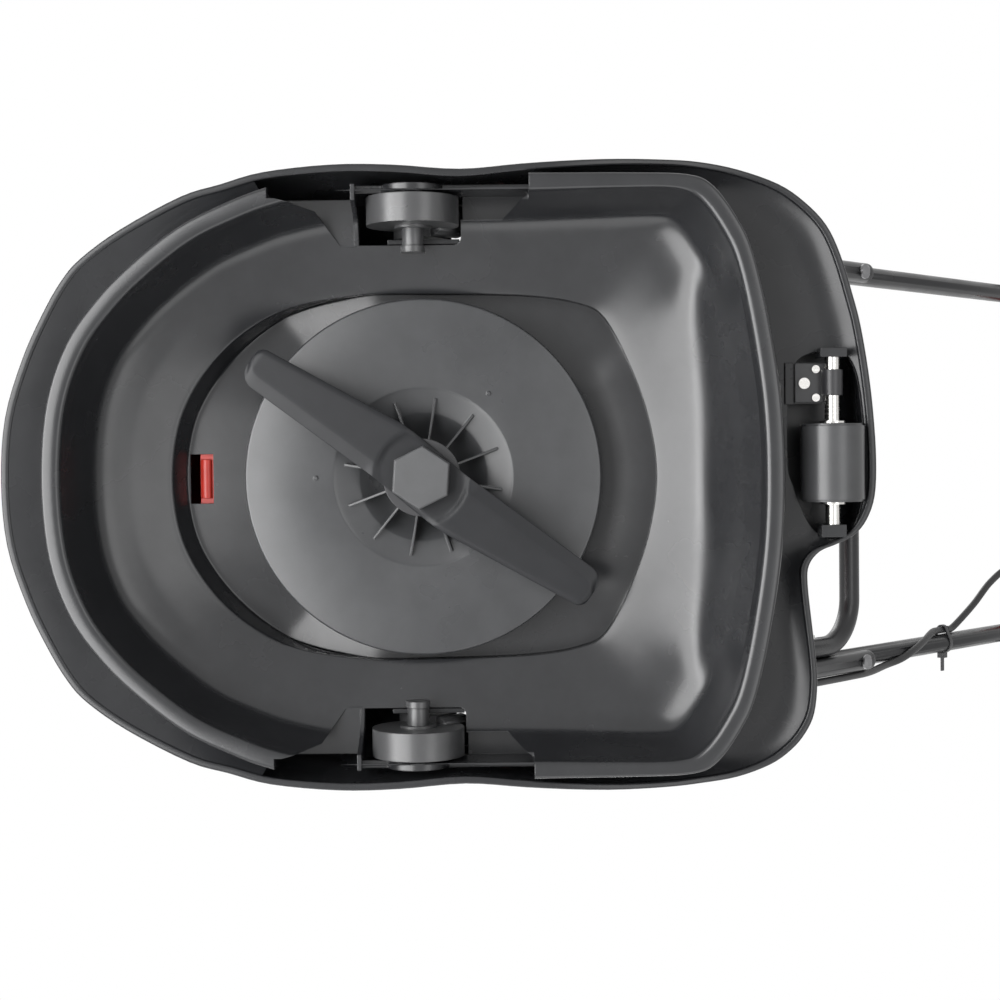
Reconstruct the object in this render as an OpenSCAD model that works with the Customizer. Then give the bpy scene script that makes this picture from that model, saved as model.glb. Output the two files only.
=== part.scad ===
// Electric hover mower: a deck that floats on air, a flat blade, and a folding handle.
// Millimetres. Ground at z = 0, origin on the blade axis, front towards -Y, handle towards +Y.

/* [Body] */
// Width of the deck across its rim
deck_w = 364; // [345:1:385]
// Length of the deck along its rim
deck_len = 440; // [425:1:465]
// Height of the cover's shoulder
cover_h = 94; // [90:1:102]
// Height of the motor hood's top
hood_h = 190; // [186:1:215]

/* [Cutting] */
// Length of the blade from tip to tip
blade_len = 250; // [220:1:260]
// Width of the blade at its tips
blade_tip_w = 23; // [18:1:26]
// Angle at which the blade is parked
blade_park = 35.6; // [0:0.1:180]
// Diameter of the impeller disc
impeller_d = 220; // [200:1:224]
// Width across the corners of the blade bolt
bolt_ac = 38.5; // [30:0.5:44]

/* [Handle] */
// Angle of the handle above the ground, at its lower stop
handle_angle = 47; // [44:1:52]
// Diameter of the handle tubes
tube_d = 16; // [15:0.5:17]
// Distance from the pivot to the cross brace
brace_v = 488; // [470:1:505]
// Distance from the pivot to the fold joint
fold_v = 810; // [795:1:830]
// Length of the folding part, from the fold joint to the top bar
loop_len = 310; // [300:1:340]
// Diameter of the foam grip
grip_d = 26; // [22:0.5:28]

/* [Roller] */
// Diameter of the rear roller
roller_d = 38.5; // [34:0.5:39]
// Length of the rear roller
roller_len = 47; // [40:1:50]

/* [Lead] */
// Diameter of the motor lead
lead_d = 6; // [5:0.1:6.4]

/* [Hidden] */
$fn = 64;
kx = deck_w / 364;
ky = deck_len / 440;
leg_x = deck_w / 2 - 24;
pivot_y = -4;
pivot_z = 34;
tube_r = tube_d / 2;
tube_bore = tube_r - 1.2;
// spacing of tubes that lie side by side
step = tube_d + 0.3;
loop_x = leg_x + step;
brace_x = leg_x - step;
top_v = fold_v + loop_len;
bend_r = 36;
loop_bend = 50;
roller_y = 248.6 * ky;
roller_z = 30;
roller_x = 6.4;
axle_r = 4.5;
pin_r = 6.5;
rim_rear_z = 30;
rim_front_z = 8;
tray_z = 33;
// height of the motor's stack, from the hood
stack_h = hood_h - 145;
stator_z = 95;
cap_z = stator_z + stack_h;
// switch box
box_x = -(loop_x + 2.5);
box_v = fold_v + 211;
box_w = 54;
box_l = 88;
bail_v = fold_v + 195;
bail_x = loop_x - 34.5;
bail_r = 3.5;
bail_drop = 38.3;
bail_run = 95;
tie_v = fold_v - 137;

// Curves and skins

// point on a smooth curve between b and c
function blend4(a, b, c, d, t) = 0.5 * (2 * b + (c - a) * t + (2 * a - 5 * b + 4 * c - d) * t * t
    + (3 * b - a - 3 * c + d) * t * t * t);
function closed_curve(p, n) = let (m = len(p)) [for (i = [0:m - 1]) for (j = [0:n - 1])
    blend4(p[(i + m - 1) % m], p[i], p[(i + 1) % m], p[(i + 2) % m], j / n)];
function open_curve(p, n) = let (m = len(p)) concat([for (i = [0:m - 2]) for (j = [0:n - 1])
    blend4(p[max(i - 1, 0)], p[i], p[i + 1], p[min(i + 2, m - 1)], j / n)], [p[m - 1]]);
// a half outline and its mirror image, front to rear and back
function both_sides(h) = let (m = len(h)) concat(h, [for (i = [m - 2:-1:1]) [-h[i][0], h[i][1]]]);
function sized(p) = [for (q = p) [q[0] * kx, q[1] * ky]];
function turn2(a, b) = a[0] * b[1] - a[1] * b[0];
// distance from the blade axis to a closed curve along one heading
function reach(c, ang) = let (d = [cos(ang), sin(ang)], m = len(c)) max([for (i = [0:m - 1])
    let (a = c[i], e = c[(i + 1) % m] - c[i], den = turn2(d, e))
    if (abs(den) > 1e-9) let (r = turn2(a, e) / den, t = turn2(a, d) / den)
    if (r > 0 && t >= -1e-9 && t <= 1 + 1e-9) r]);
function oval(ang, a, front, rear, n) = let (b = sin(ang) < 0 ? front : rear)
    pow(pow(abs(cos(ang)) / a, n) + pow(abs(sin(ang)) / b, n), -1 / n);
function mix(a, b, t) = a + (b - a) * t;
function smooth(t) = let (u = min(max(t, 0), 1)) u * u * (3 - 2 * u);
function ring(rr, aa, z) = [for (i = [0:len(aa) - 1]) [rr[i] * cos(aa[i]), rr[i] * sin(aa[i]), z]];
function side_faces(k, k2, n) = [for (i = [0:n - 1]) let (a = k * n + i, b = k * n + (i + 1) % n,
    c = k2 * n + (i + 1) % n, d = k2 * n + i) each [[a, c, b], [a, d, c]]];

// skin through rings that lead back to the first ring
module ring_skin(rings) {
    n = len(rings[0]);
    m = len(rings);
    polyhedron([for (r = rings) each r],
        [for (k = [0:m - 1]) each side_faces(k, (k + 1) % m, n)], convexity = 10);
}

// solid through rings, closed at both ends
module stack(rings) {
    n = len(rings[0]);
    m = len(rings);
    polyhedron([for (r = rings) each r], concat([[for (i = [0:n - 1]) i]],
        [for (k = [0:m - 2]) each side_faces(k, k + 1, n)],
        [[for (i = [n - 1:-1:0]) (m - 1) * n + i]]), convexity = 10);
}

// round cord along a path
function along(p, i) = let (m = len(p), v = p[min(i + 1, m - 1)] - p[max(i - 1, 0)]) v / norm(v);
module cord(p, r, sides) {
    stack([for (i = [0:len(p) - 1]) let (t = along(p, i), s0 = cross(t, [0, 0, 1]), s = s0 / norm(s0),
        u = cross(s, t)) [for (j = [0:sides - 1]) p[i] + r * (cos(j * 360 / sides) * s
        + sin(j * 360 / sides) * u)]]);
}

module along_x(x0, x1, r) {
    translate([x0, 0, 0]) rotate([0, 90, 0]) cylinder(h = x1 - x0, r = r);
}
module along_v(v0, v1, r) {
    translate([0, v0, 0]) rotate([-90, 0, 0]) cylinder(h = v1 - v0, r = r);
}
module both() {
    children();
    mirror([1, 0, 0]) children();
}
module rounded(w, l, r) {
    square([w - 2 * r, l], center = true);
    square([w, l - 2 * r], center = true);
    for (x = [-1, 1], y = [-1, 1]) translate([x * (w / 2 - r), y * (l / 2 - r)]) circle(r);
}

// Outlines, in the plan view

deck_curve = closed_curve(sized(both_sides([[0, -224], [46, -220], [81.5, -207.5], [107.6, -189],
    [128.5, -168], [149, -141.6], [162, -115.7], [172, -89], [180, -50], [181, 0], [179.5, 40],
    [179, 80], [178.5, 125], [177, 160], [170, 175], [151, 189], [131, 198], [92, 207], [45, 214],
    [0, 216]])), 3);
recess_curve = closed_curve(sized(both_sides([[0, -156], [43, -148.5], [80, -123], [104, -85],
    [113, -40], [113.5, 10], [112, 65], [107, 97], [98, 113], [70, 128], [36, 140], [0, 145]])), 3);
cover_front = [[0, -249], [38, -246], [72, -235.5], [98, -223.6], [118.5, -211.7], [132, -199.8],
    [149, -176], [168, -140], [175, -116.5], [182, -91], [186, -51], [185.6, -15], [182.7, 25],
    [185.4, 62], [188.4, 110]];
cover_rear = [[189, 145], [188, 169], [183.6, 193], [175, 217], [164, 233], [150, 246], [132, 254.5],
    [107, 262], [89, 266.5], [62, 271], [35, 274], [8, 275.5], [-14, 274.5], [-28.5, 269.5],
    [-37.5, 262], [-43, 251.5], [-47.5, 241], [-55.6, 234.5], [-67, 233.5], [-92, 236], [-110, 238],
    [-128, 239], [-146, 237], [-158, 231.5], [-168, 223], [-177, 210], [-184, 190], [-187, 168],
    [-188.5, 145]];
cover_curve = closed_curve(sized(concat(cover_front, cover_rear,
    [for (i = [len(cover_front) - 1:-1:1]) [-cover_front[i][0], cover_front[i][1]]])), 2);
deck_a = [for (p = deck_curve) atan2(p[1], p[0])];
deck_r = [for (p = deck_curve) norm(p)];
recess_r = [for (a = deck_a) reach(recess_curve, a)];
cover_a = [for (p = cover_curve) atan2(p[1], p[0])];
cover_r = [for (p = cover_curve) norm(p)];
deck_reach = [for (a = cover_a) reach(deck_curve, a)];
seat_r = [for (a = cover_a) oval(a, 122 * kx, 172 * ky, 136 * ky, 2.4)];
cover_rim = [for (p = cover_curve) mix(rim_front_z, rim_rear_z, smooth((p[1] / ky - 60) / 150))];

// Deck

function in_rim(d) = [for (r = deck_r) r - d];
function by_recess(d) = [for (r = recess_r) r + d];
function slope(t) = [for (i = [0:len(deck_r) - 1]) mix(deck_r[i] - 27, recess_r[i], t)];
function even(r) = [for (a = deck_a) r];
post_at = sized([[124.5, -35], [123, 55], [55, -166], [60, 130]]);
post_top = cover_h - 6;

module pocket_plan() {
    polygon([[leg_x + 13, -88], [leg_x + 8, -88], [leg_x + 2, -62], [leg_x - 16, -49],
        [leg_x - 16, 25], [leg_x - 2, 25], [leg_x - 2, 50], [leg_x + 10, 66], [leg_x + 13, 66]]);
}
module pocket_walls() {
    translate([0, 0, 14]) linear_extrude(34) polygon([[leg_x + 10, -91.5], [leg_x + 5, -91.5],
        [leg_x - 1, -64.8], [leg_x - 19.5, -51], [leg_x - 19.5, 28.5], [leg_x - 5.5, 28.5],
        [leg_x - 5.5, 51.5], [leg_x + 8, 69.5], [leg_x + 14.5, 69.5], [leg_x + 14.5, 40]]);
    translate([leg_x + 12.5, -40, 27]) cube([5.2, 109.5, 14]);
    intersection() {
        pivot_line() along_x(leg_x + 12.5, leg_x + 17.7, 20);
        translate([leg_x + 10, -40, 10]) cube([10, 80, 31]);
    }
    translate([leg_x - 18, -40, 14]) cube([35, 2.5, 40]);
}
module pivot_line() {
    translate([0, pivot_y, pivot_z]) children();
}
module deck() {
    color([0.16, 0.165, 0.17]) difference() {
        union() {
            ring_skin([ring(in_rim(3.5), deck_a, 0), ring(in_rim(0.9), deck_a, 1.1),
                ring(in_rim(0), deck_a, 4), ring(in_rim(1), deck_a, 9), ring(in_rim(4.5), deck_a, 12.3),
                ring(in_rim(9.5), deck_a, 13.5), ring(in_rim(17.5), deck_a, 34),
                ring(in_rim(23), deck_a, 42), ring(slope(0.5), deck_a, 52.5),
                ring(by_recess(2.4), deck_a, 61.5), ring(by_recess(2.2), deck_a, 76),
                ring(even(48), deck_a, 76), ring(even(48), deck_a, 73), ring(by_recess(-8), deck_a, 73),
                ring(by_recess(-5.6), deck_a, 70.5), ring(by_recess(0), deck_a, 59.3),
                ring(by_recess(2), deck_a, 58.3), ring(slope(0.5), deck_a, 49),
                ring(in_rim(28), deck_a, 40.5), ring(in_rim(22), deck_a, 33),
                ring(in_rim(13.5), deck_a, 8), ring(in_rim(12), deck_a, 3.2),
                ring(in_rim(8.5), deck_a, 0)]);
            difference() {
                union() {
                    both() pocket_walls();
                    both() pivot_line() along_x(leg_x + 11.4, leg_x + 13, 11);
                    both() for (p = post_at) translate([p[0], p[1], 20])
                        cylinder(h = post_top - 20, r = 5.5);
                }
                stack([ring(in_rim(11.5), deck_a, -1), ring(in_rim(11.5), deck_a, 13),
                    ring(in_rim(20), deck_a, 33.5), ring(in_rim(25.5), deck_a, 41.3),
                    ring(slope(0.5), deck_a, 50.8), ring(by_recess(1.2), deck_a, 60),
                    ring(by_recess(1.2), deck_a, 74.5)]);
            }
        }
        both() difference() {
            translate([0, 0, -1]) linear_extrude(60) pocket_plan();
            translate([leg_x - 20, -40, 0]) cube([40, 2.5, 60]);
            pivot_line() along_x(leg_x + 11.4, leg_x + 14, 11);
        }
        both() translate([leg_x + 7, -88, -1]) cube([30, 154, 15]);
        both() pivot_line() along_x(leg_x + 5, leg_x + 30, pin_r + 0.05);
        // slot for the hood's clip
        translate([-15.5, -147.2 * ky, 60]) cube([31, 14.3, 30]);
        both() for (p = post_at) translate([p[0], p[1], post_top - 13.5]) cylinder(h = 30, r = 1.6);
        for (a = [45:90:315]) rotate([0, 0, a]) translate([53, 0, 70]) cylinder(h = 10, r = 1.9);
    }
}

// Cover

function lift(f) = [for (z = cover_rim) mix(z, cover_h, f)];
function from_rim(t) = [for (i = [0:len(cover_r) - 1]) mix(cover_r[i], seat_r[i], t)];
// ring of the cover, moved in and up by small amounts
function shell(t, f, din, dz) = let (rr = from_rim(t), zz = lift(f)) [for (i = [0:len(cover_a) - 1])
    [(rr[i] - din) * cos(cover_a[i]), (rr[i] - din) * sin(cover_a[i]), zz[i] + dz]];
function skirt(z) = [for (i = [0:len(cover_a) - 1]) [(deck_reach[i] - 3) * cos(cover_a[i]),
    (deck_reach[i] - 3) * sin(cover_a[i]), z]];
function drawn_in(curve, d) = [for (p = curve) p * (1 - d / norm(p))];

module leg_slot() {
    room = tube_r + 1.2;
    far = 130;
    // sweep of the leg from its working slope to upright
    pivot_line() translate([leg_x - tube_r - 1, 0, 0]) rotate([90, 0, 90]) linear_extrude(tube_d + 2)
        polygon([room * [sin(handle_angle), -cos(handle_angle)],
            room * [sin(handle_angle), -cos(handle_angle)] + far * [cos(handle_angle), sin(handle_angle)],
            [-room, far * sin(handle_angle)], [-room, 0]]);
    pivot_line() {
        along_x(leg_x - 12.2, leg_x + 10.6, 38.8);
        along_x(leg_x - 12.2, leg_x + 8, 40);
    }
}
module roller_opening() {
    polygon(closed_curve(sized([[73.4, 238.3], [69.1, 229.2], [59.4, 224.4], [41.2, 222.6], [4.8, 222.6],
        [-7.3, 225.6], [-25.5, 232.3], [-34.6, 238.3], [-39.5, 246.2], [-38.3, 256.5], [-30.4, 263.4],
        [-16.4, 267.6], [4.8, 268.8], [35.1, 267.8], [59.4, 264.4], [71.6, 258.6], [74.6, 250.5]]), 3));
}
module gland_line() {
    translate([0, pivot_y, pivot_z]) rotate([47, 0, 0]) translate([-(leg_x + 18.6), 0, 10]) children();
}
module cover() {
    color([0.13, 0.135, 0.14]) difference() {
        union() {
            ring_skin([shell(0, 0, 1.4, 0), shell(0, 0, 0.2, 1.6), shell(0, 0, 0, 8.5),
                shell(0.03, 0.3, 0, 0), shell(0.09, 0.5, 0, 0), shell(0.2, 0.69, 0, 0),
                shell(0.36, 0.84, 0, 0), shell(0.57, 0.955, 0, 0), shell(0.76, 1, 0, 0),
                shell(1, 1, 0, 0), shell(1, 1, 0, -3), shell(0.75, 1, 0, -3),
                shell(0.57, 0.955, 0.8, -3), shell(0.36, 0.84, 1.6, -2.7), shell(0.2, 0.69, 2.4, -2),
                shell(0.09, 0.5, 2.8, -1.2), shell(0.03, 0.3, 3, -0.5), shell(0, 0, 3.3, 8.5),
                shell(0, 0, 5, 4), shell(0, 0, 4.6, 0)]);
            // sloped skirt from the front lip to behind the deck's rim
            difference() {
                ring_skin([shell(0, 0, 4.2, 1), shell(0, 0, 3, 3.8), skirt(25.6), skirt(23)]);
                translate([-300, 74 * ky, 0]) cube([600, 300, 60]);
                both() translate([leg_x - 26, -95, 0]) cube([90, 180, 60]);
            }
            // closed panel under the tail
            translate([0, 0, tray_z]) linear_extrude(3) difference() {
                intersection() {
                    polygon(drawn_in(cover_curve, 3.5));
                    translate([-300, 74 * ky]) square([600, 300]);
                }
                polygon(drawn_in(deck_curve, 14.5));
                roller_opening();
            }
            // axle seats and the clamp's ledge
            translate([-37.5, roller_y - 8, 23]) cube([6.5, 15, 20]);
            translate([-37.5, 219 * ky, tray_z + 0.5]) cube([6.5, roller_y - 219 * ky, 9.5]);
            translate([70, roller_y - 8, 24]) cube([5.5, 16, 19]);
            translate([42, 219 * ky, tray_z + 2]) cube([25, roller_y - 5.5 - 219 * ky, 9]);
            both() for (p = post_at) translate([p[0], p[1], post_top]) cylinder(h = 4.2, r = 5.5);
        }
        both() leg_slot();
        translate([0, roller_y, roller_z]) along_x(-60, 90, axle_r + 0.05);
        gland_line() along_v(8, 60, 4.1);
        gland_line() along_v(30.9, 60, 5.4);
        both() for (p = post_at) translate([p[0], p[1], 60]) cylinder(h = 60, r = 1.6);
        for (p = hood_posts) translate([p[0], p[1], 60]) cylinder(h = 60, r = 1.6);
        for (p = clamp_at) translate([p[0], p[1], 30]) cylinder(h = 10, r = p[2] / 2 + 0.05);
    }
}

// Hood and its grille

hood_posts = sized([[126, 12], [-126, 12], [30, -176], [-30, -176], [30, 141.5], [-30, 141.5]]);
hood_a = [for (i = [0:63]) i * 360 / 64];
hood_rise = hood_h - cover_h;
function hood_ring(q, f, din, dz) = ring([for (a = hood_a)
    mix(46, oval(a, 136 * kx, 186 * ky, 150 * ky, 2.4), q) - din], hood_a, cover_h + hood_rise * f + dz);
module hood() {
    color([0.6, 0.03, 0.035]) difference() {
        union() {
            ring_skin([hood_ring(1, 0, 0, 0.05), hood_ring(0.995, 0.12, 0, 0), hood_ring(0.97, 0.34, 0, 0),
                hood_ring(0.91, 0.56, 0, 0), hood_ring(0.8, 0.75, 0, 0), hood_ring(0.62, 0.9, 0, 0),
                hood_ring(0.35, 0.98, 0, 0), hood_ring(0, 1, 0, 0), hood_ring(0, 1, 0, -2.6),
                hood_ring(0.35, 0.98, 0.4, -2.6), hood_ring(0.62, 0.9, 1, -2.3),
                hood_ring(0.8, 0.75, 1.8, -1.8), hood_ring(0.91, 0.56, 2.4, -1),
                hood_ring(0.97, 0.34, 2.7, -0.5), hood_ring(0.995, 0.12, 2.8, 0),
                hood_ring(1, 0, 2.8, 0.05)]);
            intersection() {
                for (p = hood_posts) translate([p[0], p[1], cover_h + 0.05]) cylinder(h = 40, r = 4.8);
                stack([hood_ring(1, 0, 1.3, -1), hood_ring(0.995, 0.12, 1.3, 0),
                    hood_ring(0.97, 0.34, 1.3, 0), hood_ring(0.91, 0.56, 1.3, 0)]);
            }
        }
        for (p = hood_posts) translate([p[0], p[1], cover_h - 5]) cylinder(h = 19, r = 1.55);
    }
}
module hood_clip() {
    y0 = -147.2 * ky + 5.8;
    color([0.66, 0.03, 0.03]) difference() {
        union() {
            translate([-14.6, y0, 77.5]) cube([29.2, 7.6, 22]);
            translate([-12.2, y0 + 3.8, 77.5]) rotate([0, 90, 0]) cylinder(h = 24.4, r = 3.8);
            translate([-19, y0, 76.05]) cube([38, 15, 3]);
        }
        translate([-12, y0 + 2.2, 79]) cube([24, 3.2, 30]);
    }
}
module intake_grille() {
    color([0.09, 0.09, 0.095]) translate([0, 0, hood_h]) union() {
        difference() {
            translate([0, 0, -4]) cylinder(h = 4, r = 45.3);
            translate([0, 0, -9]) cylinder(h = 10, r = 41);
        }
        difference() {
            translate([0, 0, -6.4]) cylinder(h = 2.8, r = 52);
            translate([0, 0, -9]) cylinder(h = 10, r = 41);
        }
        intersection() {
            translate([0, 0, -4]) cylinder(h = 3.4, r = 43);
            for (i = [-4:4]) translate([-50, i * 9 - 1.5, -5]) cube([100, 3, 6]);
        }
        translate([-1.5, -42, -4]) cube([3, 84, 3]);
    }
}

// Motor

module motor_mount() {
    color([0.62, 0.63, 0.65]) difference() {
        union() {
            difference() {
                translate([0, 0, 76.05]) cylinder(h = 4, r = 58);
                translate([0, 0, 70]) cylinder(h = 20, r = 42.5);
            }
            for (a = [0:90:270]) rotate([0, 0, a]) translate([12, -6, 76.05]) cube([33, 12, 4]);
            translate([0, 0, 74]) cylinder(h = 18, r = 17);
            for (a = [0:90:270]) rotate([0, 0, a]) translate([38, 0, 76.05]) cylinder(h = 18.9, r = 4.5);
        }
        translate([0, 0, 78]) cylinder(h = 30, r = 13.05);
        translate([0, 0, 60]) cylinder(h = 40, r = 8);
        for (a = [45:90:315]) rotate([0, 0, a]) translate([53, 0, 70]) cylinder(h = 20, r = 2);
    }
}
module motor_stator() {
    color([0.4, 0.41, 0.43]) difference() {
        translate([0, 0, stator_z]) cylinder(h = stack_h, r = 44);
        translate([0, 0, stator_z - 5]) cylinder(h = stack_h + 10, r = 28.5);
    }
}
module motor_cap() {
    color([0.62, 0.63, 0.65]) difference() {
        union() {
            translate([0, 0, cap_z + 0.05]) cylinder(h = 27.9, r = 44);
            translate([0, 0, cap_z + 20]) cylinder(h = 18, r = 15);
        }
        translate([0, 0, cap_z - 1]) cylinder(h = 25, r = 41);
        translate([0, 0, cap_z + 28]) cylinder(h = 20, r = 11.05);
        translate([0, 0, cap_z + 10]) cylinder(h = 40, r = 7);
        for (a = [45:90:315]) rotate([0, 0, a]) translate([28, 0, cap_z + 10]) cylinder(h = 40, r = 7);
    }
}
module bearing(r, z0, z1) {
    difference() {
        translate([0, 0, z0]) cylinder(h = z1 - z0, r = r);
        translate([0, 0, z0 - 1]) cylinder(h = z1 - z0 + 2, r = 5.05);
    }
}
module motor_bearings() {
    color([0.7, 0.71, 0.73]) {
        bearing(13, 78.05, 87);
        bearing(11, cap_z + 28.05, cap_z + 36);
    }
}
module brush_holders() {
    color([0.55, 0.42, 0.2]) both() translate([12.4, -4.5, cap_z + 5])
        cube([28.1, 9, 10]);
}
module capacitor() {
    color([0.85, 0.78, 0.5]) translate([-76, 30, 76.05]) cylinder(h = 28, r = 8);
}
module terminal_block() {
    color([0.9, 0.9, 0.88]) translate([-85, -40, 76.05]) cube([16, 40, 13]);
}
module lead_gland() {
    color([0.05, 0.05, 0.05]) gland_line() difference() {
        union() {
            along_v(14, 38, 4);
            along_v(31, 34, 5.2);
        }
        along_v(10, 60, lead_d / 2 + 0.1);
    }
}
module motor_screws() {
    color([0.7, 0.7, 0.7]) for (a = [45:90:315]) rotate([0, 0, a]) translate([53, 0, 0]) {
        translate([0, 0, 73.5]) cylinder(h = 7, r = 1.85);
        translate([0, 0, 80.1]) cylinder(h = 2.6, r = 3.6);
    }
}
module deck_screws() {
    color([0.7, 0.7, 0.7]) both() for (p = post_at) translate([p[0], p[1], 0]) {
        translate([0, 0, post_top - 13]) cylinder(h = 20, r = 1.55);
        translate([0, 0, cover_h + 0.05]) cylinder(h = 2.4, r = 3.3);
    }
}
module hood_screws() {
    color([0.7, 0.7, 0.7]) for (p = hood_posts) translate([p[0], p[1], 0]) {
        translate([0, 0, cover_h - 5]) cylinder(h = 17, r = 1.5);
        translate([0, 0, cover_h - 5.4]) cylinder(h = 2.35, r = 3.2);
    }
}

// Rotor

module blade_arm() {
    half = blade_len / 2;
    cut = blade_tip_w * 0.63;
    back = cut - blade_tip_w;
    lean = atan((17 - cut) / half);
    difference() {
        union() {
            translate([0, 0, 27]) linear_extrude(3) polygon([[18.5, 0], [17, 28], [-20, 28], [-18.5, 0]]);
            translate([0, 0, 25.4]) linear_extrude(3) polygon([[17, 24], [17, 28], [cut, half - 10],
                [cut - 1.2, half - 5], [cut - 4.5, half - 1.5], [cut - 9.5, half], [back + 5, half],
                [back + 1.4, half - 1.6], [back, half - 5], [-20, 28], [-20, 24]]);
        }
        // ground cutting edge
        translate([17, 0, 0]) rotate([0, 0, lean]) translate([0, half + 10, 0]) rotate([90, 0, 0])
            linear_extrude(half - 22) polygon([[-7.7, 25.4], [1.5, 27.9], [1.5, 24], [-7.7, 24]]);
    }
}
module blade() {
    color([0.25, 0.255, 0.26]) rotate([0, 0, blade_park]) difference() {
        for (a = [0, 180]) rotate([0, 0, a]) blade_arm();
        translate([0, 0, 20]) cylinder(h = 15, r = 5.2);
    }
}
module blade_bolt() {
    color([0.13, 0.13, 0.135]) union() {
        rotate([0, 0, 4]) translate([0, 0, 17]) cylinder(h = 8.5, r = bolt_ac / 2, $fn = 6);
        rotate([0, 0, 4]) translate([0, 0, 16.2]) cylinder(h = 0.8, r1 = bolt_ac / 2 - 1,
            r2 = bolt_ac / 2, $fn = 6);
        translate([0, 0, 25]) cylinder(h = 1.95, r = 16);
        translate([0, 0, 26]) cylinder(h = 18.5, r = 4.95);
    }
}
module height_spacers() {
    color([0.07, 0.07, 0.075]) for (z = [30.02, 32.02]) difference() {
        translate([0, 0, z]) cylinder(h = 1.94, r = 23.5);
        translate([0, 0, z - 1]) cylinder(h = 4, r = 5.05);
    }
}
module impeller() {
    ri = impeller_d / 2;
    color([0.15, 0.155, 0.16]) difference() {
        union() {
            rotate_extrude() polygon([[0, 34], [19, 34], [20, 35], [20, 62], [24, 61.6], [28, 60.4],
                [32, 58.2], [36, 55.8], [40, 53.6], [44, 52], [48, 50.9], [53, 50.2], [59, 50],
                [ri - 1, 50], [ri, 51], [ri, 53], [59, 53], [53, 53.3], [48, 54.1], [44.6, 55.4],
                [41, 57.6], [37, 60.8], [33, 63.6], [29, 65.4], [24, 66.4], [24, 69], [0, 69]]);
            for (i = [0:11]) rotate([0, 0, i * 30 + 9.5]) translate([0, 0.8, 0]) rotate([90, 0, 0])
                linear_extrude(1.6) polygon([[19, 45], [32, 48.4], [47, 50.1], [49, 50.8], [49, 52.4],
                [44, 54.2], [36, 58.7], [19, 63.5]]);
            for (p = [[51, 41], [0, -66]]) translate([p[0], p[1], 49.2]) cylinder(h = 2, r1 = 1.1, r2 = 1.8);
            for (i = [0:9]) rotate([0, 0, i * 36]) translate([56, 0, 52]) rotate([0, 0, 24])
                cube([46, 1.8, 17]);
        }
        translate([0, 0, 30]) cylinder(h = 50, r = 5.05);
    }
}
module motor_shaft() {
    color([0.75, 0.76, 0.78]) translate([0, 0, 45]) cylinder(h = cap_z - 6, r = 5);
}
module armature() {
    color([0.5, 0.3, 0.16]) difference() {
        translate([0, 0, stator_z + 2]) cylinder(h = stack_h - 4, r = 28);
        translate([0, 0, stator_z - 5]) cylinder(h = stack_h + 15, r = 5.02);
        for (i = [0:11]) rotate([0, 0, i * 30]) translate([24, -1.2, stator_z - 5])
            cube([10, 2.4, stack_h + 15]);
    }
}
module commutator() {
    color([0.72, 0.43, 0.2]) difference() {
        translate([0, 0, cap_z + 2]) cylinder(h = 16, r = 12);
        translate([0, 0, cap_z]) cylinder(h = 20, r = 5.02);
    }
}

// Rear roller

clamp_at = [[54.5, roller_y - 16.5, 3.4], [63, roller_y - 9.5, 2.4], [45.8, roller_y - 9.5, 2.4]];
module axle_line() {
    translate([0, roller_y, roller_z]) children();
}
module roller() {
    x0 = roller_x - roller_len / 2;
    color([0.1, 0.1, 0.105]) axle_line() difference() {
        union() {
            along_x(x0 + 1.2, x0 + roller_len - 1.2, roller_d / 2);
            along_x(x0, x0 + roller_len, roller_d / 2 - 1.2);
        }
        along_x(x0 - 1, x0 + roller_len + 1, axle_r + 0.06);
    }
}
module roller_axle() {
    color([0.82, 0.82, 0.8]) axle_line() along_x(-37, 75.5, axle_r);
}
module axle_clips() {
    color([0.75, 0.75, 0.75]) axle_line() for (x = [roller_x - roller_len / 2 - 1.6,
        roller_x + roller_len / 2 + 0.4]) difference() {
        along_x(x, x + 1.2, 8);
        along_x(x - 1, x + 3, axle_r + 0.02);
    }
}
module axle_clamp() {
    color([0.14, 0.14, 0.145]) difference() {
        union() {
            translate([43, roller_y - 22, 33]) cube([23.5, 17.5, 1.95]);
            axle_line() along_x(47, 62.5, 6.4);
        }
        axle_line() along_x(40, 70, axle_r + 0.03);
        for (p = clamp_at) translate([p[0], p[1], 30]) cylinder(h = 10, r = p[2] / 2 + 0.05);
    }
}
module clamp_screws() {
    color([0.78, 0.78, 0.77]) for (p = clamp_at) translate([p[0], p[1], 0]) {
        translate([0, 0, 32]) cylinder(h = 7.5, r = p[2] / 2);
        translate([0, 0, 31.4]) cylinder(h = 1.55, r = p[2]);
    }
}

// Handle, drawn along its own line from the pivot

module on_handle() {
    translate([0, pivot_y, pivot_z]) rotate([handle_angle, 0, 0]) children();
}
module tube_v(v0, v1) {
    difference() {
        along_v(v0, v1, tube_r);
        along_v(v0 - 1, v1 + 1, tube_bore);
    }
}
module pivot_pins() {
    color([0.2, 0.2, 0.205]) both() pivot_line() {
        along_x(leg_x - 20, leg_x + 17.9, pin_r);
        along_x(leg_x - 22, leg_x - 18, 7.4);
    }
}
module pivot_hub() {
    on_handle() difference() {
        union() {
            along_x(leg_x - 6, leg_x + 11, 28);
            along_x(leg_x - 7.5, leg_x - 5, 11);
            translate([leg_x, 0, 0]) along_v(16, 38, 10.2);
            // raised part of the drum that keeps the cover's slot closed
            intersection() {
                along_x(leg_x - 11, leg_x + 9.5, 35.5);
                translate([leg_x - 20, 0, 0]) rotate([90, 0, 90]) linear_extrude(40)
                    polygon([[0, 0], 60 * [cos(3), sin(3)], 75 * [cos(34), sin(34)], 60 * [cos(65), sin(65)]]);
            }
        }
        along_x(leg_x - 20, leg_x + 20, pin_r + 0.05);
        translate([leg_x, 0, 0]) along_v(18, 60, tube_r + 0.04);
    }
}
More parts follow.
